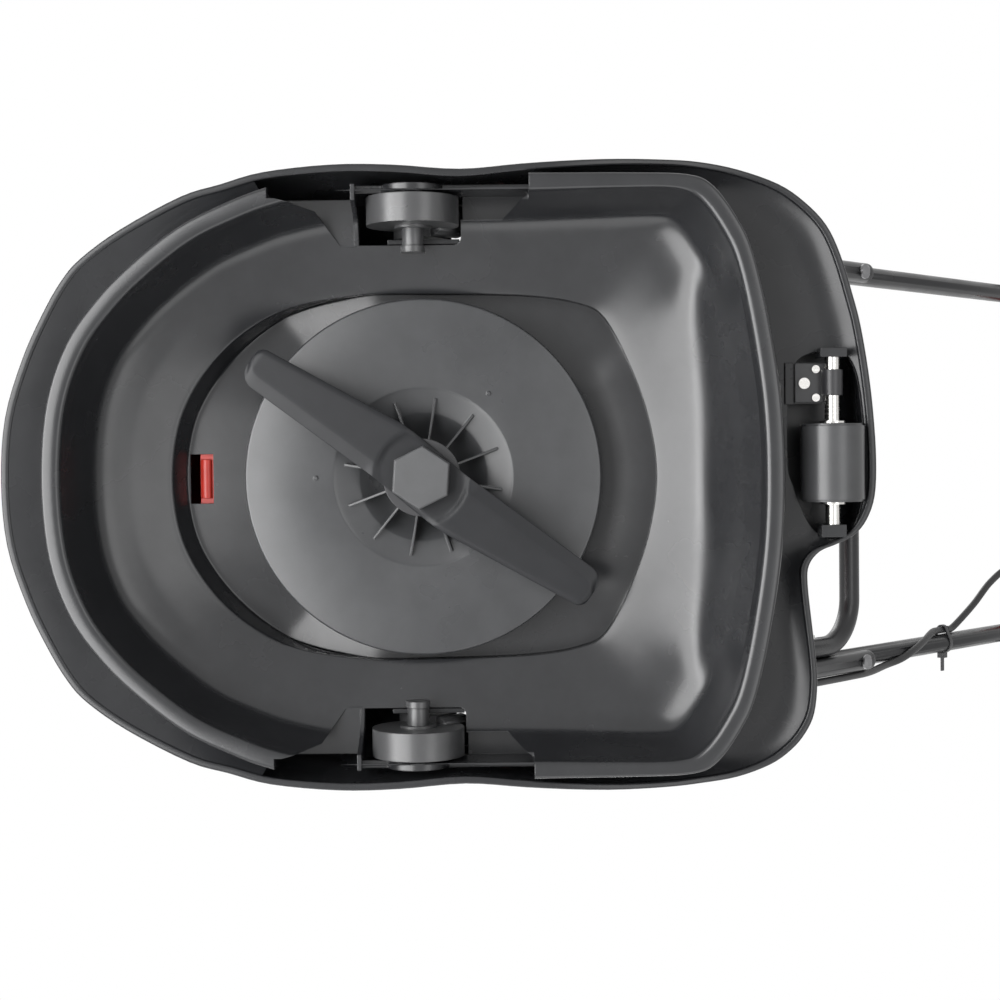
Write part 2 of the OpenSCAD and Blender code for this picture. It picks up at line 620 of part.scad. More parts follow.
module pivot_hub_left() {
    color([0.12, 0.12, 0.125]) pivot_hub();
}
module pivot_hub_right() {
    color([0.12, 0.12, 0.125]) mirror([1, 0, 0]) pivot_hub();
}
brace_bolt_v = brace_v - 60;
joint_v = brace_v + 12;
module lower_leg() {
    on_handle() difference() {
        translate([leg_x, 0, 0]) tube_v(18.1, joint_v + 12);
        translate([0, brace_bolt_v, 0]) along_x(0, leg_x, 2.55);
        translate([leg_x, joint_v, -20]) cylinder(h = 40, r = 2.55);
    }
}
module lower_leg_left() {
    color([0.17, 0.17, 0.175]) lower_leg();
}
module lower_leg_right() {
    color([0.17, 0.17, 0.175]) mirror([1, 0, 0]) lower_leg();
}
module bent_bar(x, v_top, v_end, rb) {
    difference() {
        union() {
            translate([0, v_top, 0]) along_x(-(x - rb), x - rb, tube_r);
            both() translate([x - rb, v_top - rb, 0]) rotate_extrude(angle = 90) translate([rb, 0])
                circle(tube_r);
            both() translate([x, 0, 0]) along_v(v_end, v_top - rb, tube_r);
        }
        translate([0, v_top, 0]) along_x(-(x - rb), x - rb, tube_bore);
        both() translate([x - rb, v_top - rb, 0]) rotate_extrude(angle = 90) translate([rb, 0])
            circle(tube_bore);
        both() translate([x, 0, 0]) along_v(v_end - 1, v_top - rb, tube_bore);
    }
}
module cross_brace() {
    color([0.17, 0.17, 0.175]) on_handle() difference() {
        bent_bar(brace_x, brace_v, brace_v - 88, bend_r);
        translate([0, brace_bolt_v, 0]) both() along_x(20, leg_x + 20, 2.55);
    }
}
module brace_bolts() {
    color([0.7, 0.7, 0.7]) both() on_handle() translate([0, brace_bolt_v, 0]) {
        along_x(brace_x - tube_r - 1, leg_x + tube_bore - 1.5, 2.5);
        along_x(brace_x - tube_r - 2.8, brace_x - tube_r - 0.05, 5);
    }
}
module middle_tube() {
    on_handle() translate([0, 0, step]) difference() {
        translate([leg_x, 0, 0]) tube_v(joint_v - 30, fold_v + 14);
        translate([leg_x, joint_v, -20]) cylinder(h = 40, r = 2.55);
        translate([0, fold_v, 0]) along_x(0, leg_x + 30, 3.06);
    }
}
module middle_tube_left() {
    color([0.17, 0.17, 0.175]) middle_tube();
}
module middle_tube_right() {
    color([0.17, 0.17, 0.175]) mirror([1, 0, 0]) middle_tube();
}
module joint_bolts() {
    color([0.6, 0.6, 0.61]) both() on_handle() translate([leg_x, joint_v, 0]) {
        translate([0, 0, -tube_r - 1]) cylinder(h = step + tube_d + 5, r = 2.5);
        translate([0, 0, -tube_r - 2.05]) cylinder(h = 2, r = 6);
        translate([0, 0, -tube_r - 3.6]) cylinder(h = 1.6, r1 = 3.2, r2 = 6);
        translate([0, 0, step + tube_r + 0.05]) cylinder(h = 3.6, r = 4.4, $fn = 6);
    }
}
module fold_bolts() {
    color([0.7, 0.7, 0.7]) both() on_handle() translate([0, fold_v, step]) {
        along_x(leg_x - tube_r - 19, loop_x + tube_r + 1, 3);
        along_x(loop_x + tube_r + 0.1, loop_x + tube_r + 3, 6.5);
    }
}
module plug(inner) {
    along_v(0.05, 2.6, tube_r);
    along_v(-7, 0.1, inner);
}
module tube_plugs() {
    color([0.06, 0.06, 0.06]) both() on_handle() {
        translate([leg_x, joint_v + 12, 0]) plug(tube_bore - 0.05);
        translate([leg_x, joint_v - 30, step]) mirror([0, 1, 0]) plug(tube_bore - 0.05);
        translate([leg_x, fold_v + 14, step]) plug(tube_bore - 0.05);
    }
}
module wing_knob() {
    x0 = leg_x - tube_r - 0.4;
    on_handle() translate([0, fold_v, step]) difference() {
        union() {
            along_x(x0 - 14, x0, 9);
            translate([x0 - 19, -20, -3.2]) cube([13, 40, 6.4]);
            for (s = [-1, 1]) translate([0, s * 20, 0]) translate([x0 - 12.5, 0, -3.2]) cylinder(h = 6.4, r = 6.5);
        }
        along_x(x0 - 40, x0 + 1, 3.06);
    }
}
module wing_knob_left() {
    color([0.7, 0.03, 0.03]) wing_knob();
}
module wing_knob_right() {
    color([0.7, 0.03, 0.03]) mirror([1, 0, 0]) wing_knob();
}

// Motor lead and its ties

lead_r = lead_d / 2;
beside = tube_r + lead_r + 0.5;
function round_tube(v, a) = [-leg_x + beside * cos(a), v, step + beside * sin(a)];
wrap_v = joint_v + 60;
function wrapped(t, a) = round_tube(mix(wrap_v, tie_v, t), a);
lead_low = open_curve(concat([[-(leg_x + 18.6), 20, 10], [-(leg_x + 18.6), 36, 10],
    [-(leg_x + 18.6), 44, 10], [-(leg_x + 16), 64, 7], [-(leg_x + 12.5), 92, 2.5], [-(leg_x + beside), 125, 0],
    [-(leg_x + beside), 220, 0], [-(leg_x + beside), 320, 0], [-(leg_x + beside), 420, 0],
    [-(leg_x + beside), joint_v - 10, 1], [-(leg_x + beside), joint_v + 25, 4]],
    [wrapped(0, 215), wrapped(0.17, 240), wrapped(0.33, 270), wrapped(0.5, 300),
    wrapped(0.66, 330), wrapped(0.78, 352), wrapped(0.88, 360), wrapped(1, 360)]), 3);
lead_up = open_curve([round_tube(tie_v + 0.6, 360), round_tube(tie_v + 10, 360),
    [-leg_x + 19, tie_v + 24, 14.5], [-leg_x + 32, tie_v + 45, 12], [-leg_x + 50, tie_v + 68, 8],
    [-leg_x + 62, tie_v + 97, 4], [-leg_x + 66, fold_v + 15, 1], [-leg_x + 64, fold_v + 53, 0],
    [-leg_x + 54, fold_v + 91, 0], [-leg_x + 35, fold_v + 121, 1], [-leg_x + 12, fold_v + 142, 2],
    [-leg_x - 2, fold_v + 155, 2], [-leg_x - 2, fold_v + 163, 2], [-leg_x - 2, fold_v + 171, 2]], 3);
module lead_lower() {
    color([0.04, 0.04, 0.042]) on_handle() cord(lead_low, lead_r, 8);
}
module lead_upper() {
    color([0.04, 0.04, 0.042]) on_handle() cord(lead_up, lead_r, 8);
}
// band round a tube and the lead beside it
module tie(dx) {
    rotate([90, 0, 0]) linear_extrude(4.5, center = true) difference() {
        hull() {
            circle(tube_r + 1.4);
            translate([dx, 0]) circle(lead_r + 1.6);
        }
        hull() {
            circle(tube_r + 0.1);
            translate([dx, 0]) circle(lead_r + 0.4);
        }
    }
    mirror([dx > 0 ? 1 : 0, 0, 0]) {
        translate([tube_r + 0.8, -3.5, -3]) cube([4.5, 7, 6]);
        translate([tube_r + 4, -2, -0.7]) cube([13, 4, 1.4]);
    }
}
module cable_ties() {
    color([0.03, 0.03, 0.03]) on_handle() {
        translate([-leg_x, tie_v - 6, step]) tie(beside);
        translate([-leg_x, 300, 0]) tie(-beside);
    }
}

// Folding upper part of the handle

module upper_loop() {
    color([0.17, 0.17, 0.175]) on_handle() translate([0, 0, step]) difference() {
        bent_bar(loop_x, top_v, fold_v - 14, loop_bend);
        translate([0, fold_v, 0]) both() along_x(20, loop_x + 30, 3.08);
    }
}
module loop_plugs() {
    color([0.06, 0.06, 0.06]) both() on_handle() translate([loop_x, fold_v - 14, step])
        mirror([0, 1, 0]) plug(tube_bore - 0.05);
}
module foam_grip() {
    color([0.06, 0.06, 0.062]) on_handle() translate([0, top_v, step]) difference() {
        union() {
            along_x(-95, 95, grip_d / 2 - 1.5);
            along_x(-92.5, 92.5, grip_d / 2);
        }
        along_x(-100, 100, tube_r + 0.05);
    }
}
box_bosses = [[-21, -26], [20, -26], [-21, 34], [20, 30]];
module box_half(w0, w1, c0, c1) {
    on_handle() difference() {
        union() {
            difference() {
                translate([box_x, box_v, w0]) linear_extrude(w1 - w0) rounded(box_w, box_l, 9);
                translate([box_x, box_v, c0]) linear_extrude(c1 - c0) rounded(box_w - 5.6, box_l - 5.6, 6.5);
            }
            for (p = box_bosses) translate([box_x + p[0], box_v + p[1], w0 + 1]) cylinder(h = w1 - w0 - 2, r = 4);
        }
        translate([-loop_x, 0, step]) along_v(box_v - 60, box_v + 60, tube_r + 0.08);
        translate([0, bail_v, step]) along_x(box_x, 0, bail_r + 0.08);
        for (p = box_bosses) translate([box_x + p[0], box_v + p[1], -30]) cylinder(h = step + 46, r = 1.6);
        translate([-leg_x - 2, 0, 2]) along_v(box_v - 60, box_v - 30, lead_r + 0.15);
        translate([box_x - 15, 0, 2]) along_v(box_v - 60, box_v - 30, 6.05);
        translate([box_x - 15, box_v + 10, step + 10]) cylinder(h = 40, r = 7.15);
    }
}
module switch_box_lower() {
    color([0.08, 0.08, 0.085]) box_half(-14, step - 0.1, -11.2, 40);
}
module switch_box_upper() {
    color([0.08, 0.08, 0.085]) box_half(step + 0.1, 44, 0, 41.2);
}
module box_screws() {
    color([0.7, 0.7, 0.7]) on_handle() for (p = box_bosses) translate([box_x + p[0], box_v + p[1], 0]) {
        translate([0, 0, -14.5]) cylinder(h = 44, r = 1.5);
        translate([0, 0, -16.2]) cylinder(h = 2.15, r = 3);
    }
}
module microswitch() {
    color([0.1, 0.1, 0.1]) on_handle() translate([box_x - 23, box_v - 5, -11.15]) cube([13, 30, 36]);
}
module mains_inlet() {
    color([0.05, 0.05, 0.05]) on_handle() translate([box_x - 15, box_v - 44, 2]) difference() {
        union() {
            along_v(-26, 6, 6);
            along_v(-4, -0.05, 8);
        }
        along_v(-30, 10, 3.7);
    }
}
module bail_clip() {
    color([0.08, 0.08, 0.085]) on_handle() translate([0, bail_v, step]) difference() {
        union() {
            translate([loop_x, 0, 0]) along_v(-8, 8, tube_r + 3.2);
            translate([loop_x - 23, -7, -6.5]) cube([14, 14, 13]);
        }
        translate([loop_x, 0, 0]) along_v(-20, 20, tube_r + 0.06);
        along_x(loop_x - 40, loop_x - 9.5, bail_r + 0.08);
    }
}
module bail() {
    lean = atan(bail_drop / bail_run);
    reach_v = norm([bail_drop, bail_run]);
    color([0.2, 0.2, 0.205]) on_handle() translate([0, bail_v, step]) rotate([-lean, 0, 0]) union() {
        both() along_x(bail_x, loop_x - 16, bail_r);
        both() translate([bail_x, 0, 0]) along_v(0, reach_v, bail_r);
        both() translate([bail_x, 0, 0]) sphere(bail_r);
        both() translate([bail_x, reach_v, 0]) sphere(bail_r);
        translate([0, reach_v, 0]) along_x(-bail_x, bail_x, bail_r);
    }
}
module lock_button() {
    color([0.7, 0.03, 0.03]) on_handle() translate([box_x - 15, box_v + 10, 0]) union() {
        translate([0, 0, 37]) cylinder(h = 11, r = 7);
        translate([0, 0, 36.5]) cylinder(h = 4.2, r = 8.6);
    }
}

deck();
cover();
hood();
hood_clip();
intake_grille();
motor_mount();
motor_stator();
motor_cap();
motor_bearings();
brush_holders();
capacitor();
terminal_block();
lead_gland();
pivot_pins();
roller_axle();
axle_clamp();
clamp_screws();
axle_clips();
deck_screws();
motor_screws();
hood_screws();
blade();
blade_bolt();
height_spacers();
impeller();
motor_shaft();
armature();
commutator();
roller();
pivot_hub_left();
pivot_hub_right();
lower_leg_left();
lower_leg_right();
cross_brace();
brace_bolts();
middle_tube_left();
middle_tube_right();
joint_bolts();
fold_bolts();
tube_plugs();
cable_ties();
lead_lower();
upper_loop();
loop_plugs();
foam_grip();
switch_box_lower();
switch_box_upper();
box_screws();
microswitch();
mains_inlet();
bail_clip();
lead_upper();
wing_knob_left();
wing_knob_right();
bail();
lock_button();
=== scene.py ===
import math
import bmesh
import bpy
import numpy as np
from mathutils import Matrix, Vector


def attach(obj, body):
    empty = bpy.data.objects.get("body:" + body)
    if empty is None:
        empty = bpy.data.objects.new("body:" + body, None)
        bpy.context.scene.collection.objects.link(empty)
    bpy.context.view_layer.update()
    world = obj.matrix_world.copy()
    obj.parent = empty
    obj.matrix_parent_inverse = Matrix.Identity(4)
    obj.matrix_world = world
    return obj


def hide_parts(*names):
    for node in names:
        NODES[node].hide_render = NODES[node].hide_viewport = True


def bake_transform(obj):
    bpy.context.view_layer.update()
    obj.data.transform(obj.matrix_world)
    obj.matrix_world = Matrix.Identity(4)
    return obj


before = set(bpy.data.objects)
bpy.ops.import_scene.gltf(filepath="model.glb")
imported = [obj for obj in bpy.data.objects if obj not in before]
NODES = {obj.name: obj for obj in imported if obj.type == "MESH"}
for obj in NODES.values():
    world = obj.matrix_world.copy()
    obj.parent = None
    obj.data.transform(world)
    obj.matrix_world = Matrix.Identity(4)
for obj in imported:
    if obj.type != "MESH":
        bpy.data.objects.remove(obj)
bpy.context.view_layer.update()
scene = bpy.context.scene
scene.view_settings.view_transform = "Standard"
MM = 0.001
GRAIN_DEPTH = 0.0004
SOFT_EDGE = 0.0009
WELD_GAP = 0.00001


# Materials

def new_material(name, colour, rough, metallic=0.0, specular=0.5):
    mat = bpy.data.materials.new(name)
    mat.use_nodes = True
    shader = mat.node_tree.nodes["Principled BSDF"]
    shader.inputs["Base Color"].default_value = (*colour, 1.0)
    shader.inputs["Roughness"].default_value = rough
    shader.inputs["Metallic"].default_value = metallic
    shader.inputs["Specular IOR Level"].default_value = specular
    return mat, mat.node_tree.nodes, mat.node_tree.links, shader


def add_noise(nodes, links, scale, detail=3.0, rough=0.55, stretch=None):
    coord = nodes.new("ShaderNodeTexCoord")
    noise = nodes.new("ShaderNodeTexNoise")
    noise.inputs["Scale"].default_value = scale
    noise.inputs["Detail"].default_value = detail
    noise.inputs["Roughness"].default_value = rough
    if stretch:
        mapping = nodes.new("ShaderNodeMapping")
        mapping.inputs["Scale"].default_value = stretch
        links.new(coord.outputs["Object"], mapping.inputs["Vector"])
        links.new(mapping.outputs["Vector"], noise.inputs["Vector"])
    else:
        links.new(coord.outputs["Object"], noise.inputs["Vector"])
    return noise


def ramp(nodes, links, source, stops):
    node = nodes.new("ShaderNodeValToRGB")
    links.new(source, node.inputs["Fac"])
    while len(node.color_ramp.elements) < len(stops):
        node.color_ramp.elements.new(0.5)
    for element, (pos, colour) in zip(node.color_ramp.elements, stops):
        element.position = pos
        element.color = (*colour, 1.0)
    return node


def grey(v):
    return (v, v, v)


def moulded(name, colour, rough, spread=0.06, grain=2600.0, bump=0.05, specular=0.5):
    """Injection-moulded plastic: fine grain and slow flow marks in gloss and colour."""
    mat, nodes, links, shader = new_material(name, colour, rough, 0.0, specular)
    flow = add_noise(nodes, links, 16.0, 4.0, 0.6)
    gloss = ramp(nodes, links, flow.outputs["Fac"], [
        (0.3, grey(rough - spread)), (0.7, grey(rough + spread))])
    links.new(gloss.outputs["Color"], shader.inputs["Roughness"])
    tint = add_noise(nodes, links, 55.0, 6.0, 0.65)
    dark = tuple(c * 0.9 for c in colour)
    light = tuple(min(1.0, c * 1.1) for c in colour)
    paint = ramp(nodes, links, tint.outputs["Fac"], [(0.35, dark), (0.68, light)])
    links.new(paint.outputs["Color"], shader.inputs["Base Color"])
    fine = add_noise(nodes, links, grain, 2.0, 0.5)
    relief = nodes.new("ShaderNodeBump")
    relief.inputs["Strength"].default_value = bump
    relief.inputs["Distance"].default_value = GRAIN_DEPTH
    soft = nodes.new("ShaderNodeBevel")
    soft.samples = 4
    soft.inputs["Radius"].default_value = SOFT_EDGE
    links.new(soft.outputs["Normal"], relief.inputs["Normal"])
    links.new(fine.outputs["Fac"], relief.inputs["Height"])
    links.new(relief.outputs["Normal"], shader.inputs["Normal"])
    return mat


def painted_tube(name, colour, rough):
    """Baked paint on steel tube: smooth with a faint ripple."""
    mat, nodes, links, shader = new_material(name, colour, rough, 0.0, 0.36)
    shader.inputs["Coat Weight"].default_value = 0.06
    shader.inputs["Coat Roughness"].default_value = 0.2
    ripple = add_noise(nodes, links, 420.0, 2.0, 0.5)
    relief = nodes.new("ShaderNodeBump")
    relief.inputs["Strength"].default_value = 0.06
    relief.inputs["Distance"].default_value = 0.0006
    links.new(ripple.outputs["Fac"], relief.inputs["Height"])
    links.new(relief.outputs["Normal"], shader.inputs["Normal"])
    wear = add_noise(nodes, links, 30.0, 5.0, 0.6)
    gloss = ramp(nodes, links, wear.outputs["Fac"], [
        (0.35, grey(rough - 0.05)), (0.7, grey(rough + 0.08))])
    links.new(gloss.outputs["Color"], shader.inputs["Roughness"])
    return mat


def bare_metal(name, colour, rough, scratch=(900.0, 60.0, 60.0)):
    """Turned or rolled metal with fine lines."""
    mat, nodes, links, shader = new_material(name, colour, rough, 1.0)
    lines = add_noise(nodes, links, 1.0, 3.0, 0.6, scratch)
    gloss = ramp(nodes, links, lines.outputs["Fac"], [
        (0.3, grey(rough * 0.75)), (0.7, grey(rough * 1.35))])
    links.new(gloss.outputs["Color"], shader.inputs["Roughness"])
    stain = add_noise(nodes, links, 60.0, 5.0, 0.6)
    tone = ramp(nodes, links, stain.outputs["Fac"], [
        (0.3, tuple(c * 0.86 for c in colour)), (0.65, colour)])
    links.new(tone.outputs["Color"], shader.inputs["Base Color"])
    relief = nodes.new("ShaderNodeBump")
    relief.inputs["Strength"].default_value = 0.03
    relief.inputs["Distance"].default_value = 0.0002
    links.new(lines.outputs["Fac"], relief.inputs["Height"])
    links.new(relief.outputs["Normal"], shader.inputs["Normal"])
    return mat


def foam_rubber(name, colour):
    """Closed-cell foam: matt, with small pores whose pits are darkened as painted shade."""
    mat, nodes, links, shader = new_material(name, colour, 0.88, 0.0, 0.3)
    coord = nodes.new("ShaderNodeTexCoord")
    cells = nodes.new("ShaderNodeTexVoronoi")
    cells.inputs["Scale"].default_value = 950.0
    links.new(coord.outputs["Object"], cells.inputs["Vector"])
    # Painted shade: each pore's pit, the low point of the bump, is darkened.
    tone = ramp(nodes, links, cells.outputs["Distance"], [
        (0.0, tuple(c * 0.5 for c in colour)), (0.5, tuple(c * 1.25 for c in colour))])
    links.new(tone.outputs["Color"], shader.inputs["Base Color"])
    relief = nodes.new("ShaderNodeBump")
    relief.inputs["Strength"].default_value = 0.45
    relief.inputs["Distance"].default_value = 0.0006
    links.new(cells.outputs["Distance"], relief.inputs["Height"])
    links.new(relief.outputs["Normal"], shader.inputs["Normal"])
    return mat


DECK = moulded("deck_moulding", (0.017, 0.0175, 0.019), 0.25, 0.05, 2600.0, 0.05)
COVER = moulded("cover_moulding", (0.016, 0.0165, 0.018), 0.27, 0.05, 2600.0, 0.04, specular=0.38)
RED = moulded("red_moulding", (0.36, 0.022, 0.014), 0.34, 0.05, 2600.0, 0.04)
BLACK = moulded("black_moulding", (0.022, 0.022, 0.024), 0.38, 0.06, 2200.0, 0.08)
HUB = moulded("hub_moulding", (0.048, 0.0485, 0.050), 0.30, 0.05, 2200.0, 0.06)
ROLLER = moulded("roller_moulding", (0.050, 0.051, 0.053), 0.33, 0.05, 2200.0, 0.06)
BLADE = moulded("blade_paint", (0.013, 0.0135, 0.015), 0.42, 0.05, 2400.0, 0.06, specular=0.24)
BOLT = moulded("bolt_blacking", (0.054, 0.055, 0.057), 0.44, 0.06, 2400.0, 0.06)
DISC = moulded("disc_moulding", (0.036, 0.037, 0.039), 0.31, 0.06, 2400.0, 0.05)
WHITE = moulded("white_moulding", (0.78, 0.77, 0.73), 0.45, 0.05, 1800.0, 0.05)
TUBE = painted_tube("tube_paint", (0.022, 0.0225, 0.024), 0.32)
BRIGHT = bare_metal("bright_steel", (0.66, 0.65, 0.63), 0.22)
DARK = bare_metal("dark_steel", (0.20, 0.20, 0.205), 0.42)
CAST = bare_metal("cast_aluminium", (0.62, 0.63, 0.64), 0.5, (160.0, 160.0, 160.0))
COPPER = bare_metal("copper_winding", (0.72, 0.36, 0.20), 0.38)
FOAM = foam_rubber("grip_foam", (0.022, 0.022, 0.023))
RUBBER = moulded("lead_rubber", (0.020, 0.020, 0.021), 0.5, 0.06, 1800.0, 0.1)

FINISH = {
    "deck": DECK, "cover": COVER, "hood": RED, "hood_clip": RED, "intake_grille": BLACK,
    "motor_mount": CAST, "motor_stator": DARK, "motor_cap": CAST, "motor_bearings": BRIGHT,
    "brush_holders": BLACK, "capacitor": WHITE, "terminal_block": WHITE, "lead_gland": RUBBER,
    "pivot_pins": HUB, "roller_axle": BRIGHT, "axle_clamp": BLACK, "clamp_screws": BRIGHT,
    "axle_clips": BRIGHT, "deck_screws": BRIGHT, "motor_screws": BRIGHT, "hood_screws": BRIGHT,
    "blade": BLADE, "blade_bolt": BOLT, "height_spacers": BLACK, "impeller": DISC,
    "motor_shaft": BRIGHT, "armature": COPPER, "commutator": COPPER, "roller": ROLLER,
    "pivot_hub_left": HUB, "pivot_hub_right": HUB, "lower_leg_left": TUBE,
    "lower_leg_right": TUBE, "cross_brace": TUBE, "brace_bolts": BRIGHT, "middle_tube_left": TUBE,
    "middle_tube_right": TUBE, "joint_bolts": DARK, "fold_bolts": BRIGHT, "tube_plugs": BLACK,
    "cable_ties": BLACK, "lead_lower": RUBBER, "upper_loop": TUBE, "loop_plugs": BLACK,
    "foam_grip": FOAM, "switch_box_lower": BLACK, "switch_box_upper": BLACK, "box_screws": BRIGHT,
    "microswitch": BLACK, "mains_inlet": RUBBER, "bail_clip": BLACK, "lead_upper": RUBBER,
    "wing_knob_left": RED, "wing_knob_right": RED, "bail": DARK, "lock_button": RED,
}
for name, obj in NODES.items():
    obj.data.materials.clear()
    obj.data.materials.append(FINISH[name])
    weld = obj.modifiers.new("weld", "WELD")
    weld.merge_threshold = WELD_GAP


# Curves, skins and cuts

def blend4(a, b, c, d, t):
    """Point at share t between b and c on a smooth curve through four points."""
    return 0.5 * (2 * b + (c - a) * t + (2 * a - 5 * b + 4 * c - d) * t * t
                  + (3 * b - a - 3 * c + d) * t ** 3)


def closed_curve(points, n):
    p = np.array(points, float)
    m = len(p)
    out = []
    for i in range(m):
        for j in range(n):
            out.append(blend4(p[i - 1], p[i], p[(i + 1) % m], p[(i + 2) % m], j / n))
    return np.array(out)


def both_sides(half):
    return half + [(-x, y) for x, y in half[-2:0:-1]]


def reach(curve, angles):
    """Distance from the blade axis to a closed curve, along each heading."""
    a = curve
    e = np.roll(curve, -1, axis=0) - curve
    out = []
    for ang in angles:
        d = np.array([math.cos(ang), math.sin(ang)])
        den = d[0] * e[:, 1] - d[1] * e[:, 0]
        den = np.where(np.abs(den) < 1e-9, 1e-9, den)
        r = (a[:, 0] * e[:, 1] - a[:, 1] * e[:, 0]) / den
        t = (a[:, 0] * d[1] - a[:, 1] * d[0]) / den
        good = (r > 0) & (t >= -1e-6) & (t <= 1 + 1e-6)
        out.append(r[good].max())
    return np.array(out)


def ring(radius, angles, height):
    radius = np.broadcast_to(radius, angles.shape)
    height = np.broadcast_to(height, angles.shape)
    return np.stack([radius * np.cos(angles), radius * np.sin(angles), height], axis=1)


def rounder(rings, times=2):
    """Cuts the corners of a closed run of rings."""
    rings = np.array(rings)
    for _ in range(times):
        after = np.roll(rings, -1, axis=0)
        pair = np.stack([0.75 * rings + 0.25 * after, 0.25 * rings + 0.75 * after], axis=1)
        rings = pair.reshape(-1, *rings.shape[1:])
    return rings


def smoothstep(t):
    u = np.clip(t, 0.0, 1.0)
    return u * u * (3 - 2 * u)


def from_data(name, points, faces):
    """Object from points in millimetres."""
    mesh = bpy.data.meshes.new(name)
    mesh.from_pydata([tuple(float(c) * MM for c in p) for p in points], [], faces)
    mesh.validate()
    work = bmesh.new()
    work.from_mesh(mesh)
    bmesh.ops.recalc_face_normals(work, faces=work.faces[:])
    work.to_mesh(mesh)
    work.free()
    obj = bpy.data.objects.new(name, mesh)
    scene.collection.objects.link(obj)
    return obj


def ring_faces(k, k2, n):
    return [(k * n + i, k * n + (i + 1) % n, k2 * n + (i + 1) % n, k2 * n + i) for i in range(n)]


def torus_skin(name, rings):
    """Closed skin through rings that lead back to the first."""
    m, n = rings.shape[:2]
    faces = []
    for k in range(m):
        faces += ring_faces(k, (k + 1) % m, n)
    return from_data(name, rings.reshape(-1, 3), faces)


def capped_skin(name, rings):
    """Solid through rings, closed at both ends."""
    rings = np.array(rings)
    m, n = rings.shape[:2]
    faces = [tuple(range(n)), tuple((m - 1) * n + i for i in range(n))]
    for k in range(m - 1):
        faces += ring_faces(k, k + 1, n)
    return from_data(name, rings.reshape(-1, 3), faces)


def strip_skin(name, lower, upper):
    """Sheet with thickness, between two faces given row by row."""
    grid = np.array(lower + upper[::-1])
    rows, cols = grid.shape[:2]
    faces = []
    for k in range(rows):
        k2 = (k + 1) % rows
        faces += [(k * cols + i, k * cols + i + 1, k2 * cols + i + 1, k2 * cols + i)
                  for i in range(cols - 1)]
    faces.append(tuple(k * cols for k in range(rows)))
    faces.append(tuple(k * cols + cols - 1 for k in range(rows)))
    return from_data(name, grid.reshape(-1, 3), faces)


def prism(name, plan, low, high):
    base = [(x, y, low) for x, y in plan]
    top = [(x, y, high) for x, y in plan]
    return capped_skin(name, [base, top])


def block(name, low, high):
    plan = [(low[0], low[1]), (high[0], low[1]), (high[0], high[1]), (low[0], high[1])]
    return prism(name, plan, low[2], high[2])


def prism_across(name, plan, low, high):
    """Solid between two X values, from a plan in Y and Z."""
    return capped_skin(name, [[(low, y, z) for y, z in plan], [(high, y, z) for y, z in plan]])


def rod(name, start, end, radius, steps=40):
    start, end = np.array(start, float), np.array(end, float)
    axis = (end - start) / np.linalg.norm(end - start)
    side = np.cross(axis, (0.0, 0.0, 1.0) if abs(axis[2]) < 0.9 else (1.0, 0.0, 0.0))
    side /= np.linalg.norm(side)
    other = np.cross(axis, side)
    turn = np.arange(steps) * 2 * math.pi / steps
    loop = radius * (np.outer(np.cos(turn), side) + np.outer(np.sin(turn), other))
    return capped_skin(name, [start + loop, end + loop])


def combine(obj, tool, operation):
    """Boolean of two solids; the tool is used up."""
    mod = obj.modifiers.new("cut", "BOOLEAN")
    mod.operation = operation
    mod.solver = "EXACT"
    mod.object = tool
    graph = bpy.context.evaluated_depsgraph_get()
    mesh = bpy.data.meshes.new_from_object(obj.evaluated_get(graph))
    obj.modifiers.clear()
    before = obj.data
    obj.data = mesh
    bpy.data.meshes.remove(before)
    bpy.data.objects.remove(tool)
    return obj


def join(obj, others):
    """Adds other meshes to one object."""
    work = bmesh.new()
    work.from_mesh(obj.data)
    for other in others:
        work.from_mesh(other.data)
        bpy.data.objects.remove(other)
    work.to_mesh(obj.data)
    work.free()
    return obj


def soft_shade(obj, degrees=32.0):
    mesh = obj.data
    mesh.polygons.foreach_set("use_smooth", np.ones(len(mesh.polygons), bool))
    mesh.set_sharp_from_angle(angle=math.radians(degrees))


def finish_piece(obj, material, body, nodes, degrees=32.0):
    obj.data.materials.clear()
    obj.data.materials.append(material)
    soft_shade(obj, degrees)
    if body:
        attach(obj, body)
    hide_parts(*nodes)


# Deck moulding

LEG_X = 158.0
PIVOT = (-4.0, 34.0)
LEAN = math.radians(47.0)
BOSS_R = 20
POST_R = 5.5
PIN_BOSS_R = 11
PIN_BORE_R = 6.6
POCKET_TOP = 59
ROOF_LOW, ROOF_HIGH = 45.5, 48
deck_curve = closed_curve(both_sides([
    (0, -224), (46, -220), (81.5, -207.5), (107.6, -189), (128.5, -168), (149, -141.6),
    (162, -115.7), (172, -89), (180, -50), (181, 0), (179.5, 40), (179, 80), (178.5, 125),
    (177, 160), (170, 175), (151, 189), (131, 198), (92, 207), (45, 214), (0, 216)]), 5)
recess_curve = closed_curve(both_sides([
    (0, -156), (43, -148.5), (80, -123), (104, -85), (113, -40), (113.5, 10), (112, 65),
    (107, 97), (98, 113), (70, 128), (36, 140), (0, 145)]), 6)
deck_angle = np.arctan2(deck_curve[:, 1], deck_curve[:, 0])
deck_rim = np.hypot(deck_curve[:, 0], deck_curve[:, 1])
recess = reach(recess_curve, deck_angle)
deck_back = smoothstep((deck_curve[:, 1] - 95) / 50)
deck_back = deck_back * (1 - smoothstep((np.abs(deck_curve[:, 0]) - 100) / 50))
recess_y = recess * np.sin(deck_angle)
wall_spread = 1 - 1.08 * smoothstep((recess_y + 145) / 85)
roof_ramp = np.clip((-30 - recess_y) / 60, 0.0, 1.0) * (1 - smoothstep((-recess_y - 92) / 58))


